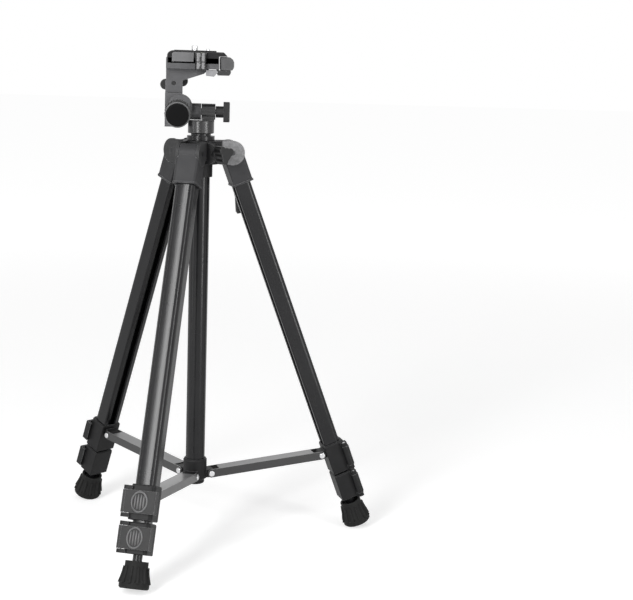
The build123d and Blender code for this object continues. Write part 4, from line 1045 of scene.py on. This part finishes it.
floor_size = 12.0
floor_mesh = bpy.data.meshes.new("studio floor")
floor_mesh.from_pydata(
    [(-floor_size, -floor_size, 0), (floor_size, -floor_size, 0), (floor_size, floor_size, 0),
     (-floor_size, floor_size, 0)],
    [], [(0, 1, 2, 3)],
)
studio_floor = in_scene("studio_floor", floor_mesh)
studio_floor.location.z = cad_low.z - 0.0002


def seen_directly(tree):
    """1 for rays that reach the eye straight, by a reflection or through a piece, and 0 for light."""
    rays = tree.nodes.new("ShaderNodeLightPath")
    bent = math_node(tree, "MAXIMUM", rays.outputs["Is Glossy Ray"], rays.outputs["Is Transmission Ray"])
    return math_node(tree, "MAXIMUM", rays.outputs["Is Camera Ray"], bent)


floor_paint = bpy.data.materials.new("floor paint")
floor_paint.use_nodes = True
tree = floor_paint.node_tree
tree.nodes.clear()
floor_output = tree.nodes.new("ShaderNodeOutputMaterial")
matt = tree.nodes.new("ShaderNodeBsdfDiffuse")
matt.inputs["Color"].default_value = (0.6, 0.6, 0.6, 1.0)
lift = tree.nodes.new("ShaderNodeEmission")
place = tree.nodes.new("ShaderNodeTexCoord")
distance = tree.nodes.new("ShaderNodeVectorMath")
distance.operation = "LENGTH"
tree.links.new(place.outputs["Object"], distance.inputs[0])
near_grey, far_white = 0.6, 0.86
grey_within, white_beyond = 0.4, 2.6
far = ranged(tree, distance.outputs["Value"], near_grey, far_white, grey_within, white_beyond)
tree.links.new(math_node(tree, "MULTIPLY", seen_directly(tree), far), lift.inputs["Strength"])
both = tree.nodes.new("ShaderNodeAddShader")
tree.links.new(matt.outputs[0], both.inputs[0])
tree.links.new(lift.outputs[0], both.inputs[1])
tree.links.new(both.outputs[0], floor_output.inputs["Surface"])
floor_mesh.materials.append(floor_paint)

world = bpy.data.worlds.new("studio")
bpy.context.scene.world = world
world.use_nodes = True
tree = world.node_tree
tree.nodes.clear()
world_output = tree.nodes.new("ShaderNodeOutputWorld")
sky = new_node(tree, "ShaderNodeBackground", Color=(1.0, 1.0, 1.0, 1.0))
sky_lights, sky_seen = 0.2, 1.0
tree.links.new(ranged(tree, seen_directly(tree), sky_lights, sky_seen), sky.inputs["Strength"])
tree.links.new(sky.outputs[0], world_output.inputs["Surface"])


def soft_light(name, place, aim, width, height, power):
    """A rectangular soft light that looks at a point."""
    data = bpy.data.lights.new(name, "AREA")
    data.shape = "RECTANGLE"
    data.size, data.size_y = width, height
    data.energy = power
    light = in_scene(name, data)
    light.location = place
    light.rotation_euler = (Vector(aim) - Vector(place)).to_track_quat("-Z", "Y").to_euler()
    light.visible_camera = False


middle = Vector((axis_point.x, axis_point.y, stand_height / 2))
soft_light("overhead", middle + Vector((0.2, 0.1, 1.7)), middle, 1.5, 1.5, 6.0)
soft_light("front strip", middle + Vector((-0.8, -1.45, 0.66)), middle, 0.4, 1.3, 32.0)
soft_light("left strip", middle + Vector((-1.35, -0.5, 0.1)), middle, 0.12, 1.5, 3.0)
soft_light("right strip", middle + Vector((1.15, -1.05, 0.0)), middle, 0.18, 1.7, 16.0)
soft_light("front fill", middle + Vector((0.8, -1.8, 0.4)), middle, 0.9, 0.9, 3.0)


# ------------------------------------------------------------ camera
# A long lens at the height of the head, looking slightly down and a little
# past the tripod, which stands left of the middle of the view.
camera_data = bpy.data.cameras.new("camera")
camera_data.sensor_width = 36.0
camera_data.lens = 86.7
camera = in_scene("camera", camera_data)
camera_distance = 1.60527
camera_height = 0.53668
yaw, pitch, roll = math.radians(4.51), math.radians(9.63), math.radians(1.78)
forward = Vector((math.sin(yaw) * math.cos(pitch), math.cos(yaw) * math.cos(pitch), -math.sin(pitch)))
level = forward.cross(Vector((0, 0, 1))).normalized()
above = level.cross(forward)
sideways = level * math.cos(roll) + above * math.sin(roll)
top_way = above * math.cos(roll) - level * math.sin(roll)
camera_at = Vector((axis_point.x, axis_point.y - camera_distance, camera_height))
camera.matrix_world = axes_at(camera_at, sideways, top_way, -forward)
bpy.context.scene.camera = camera
bpy.context.scene.view_settings.view_transform = "Standard"
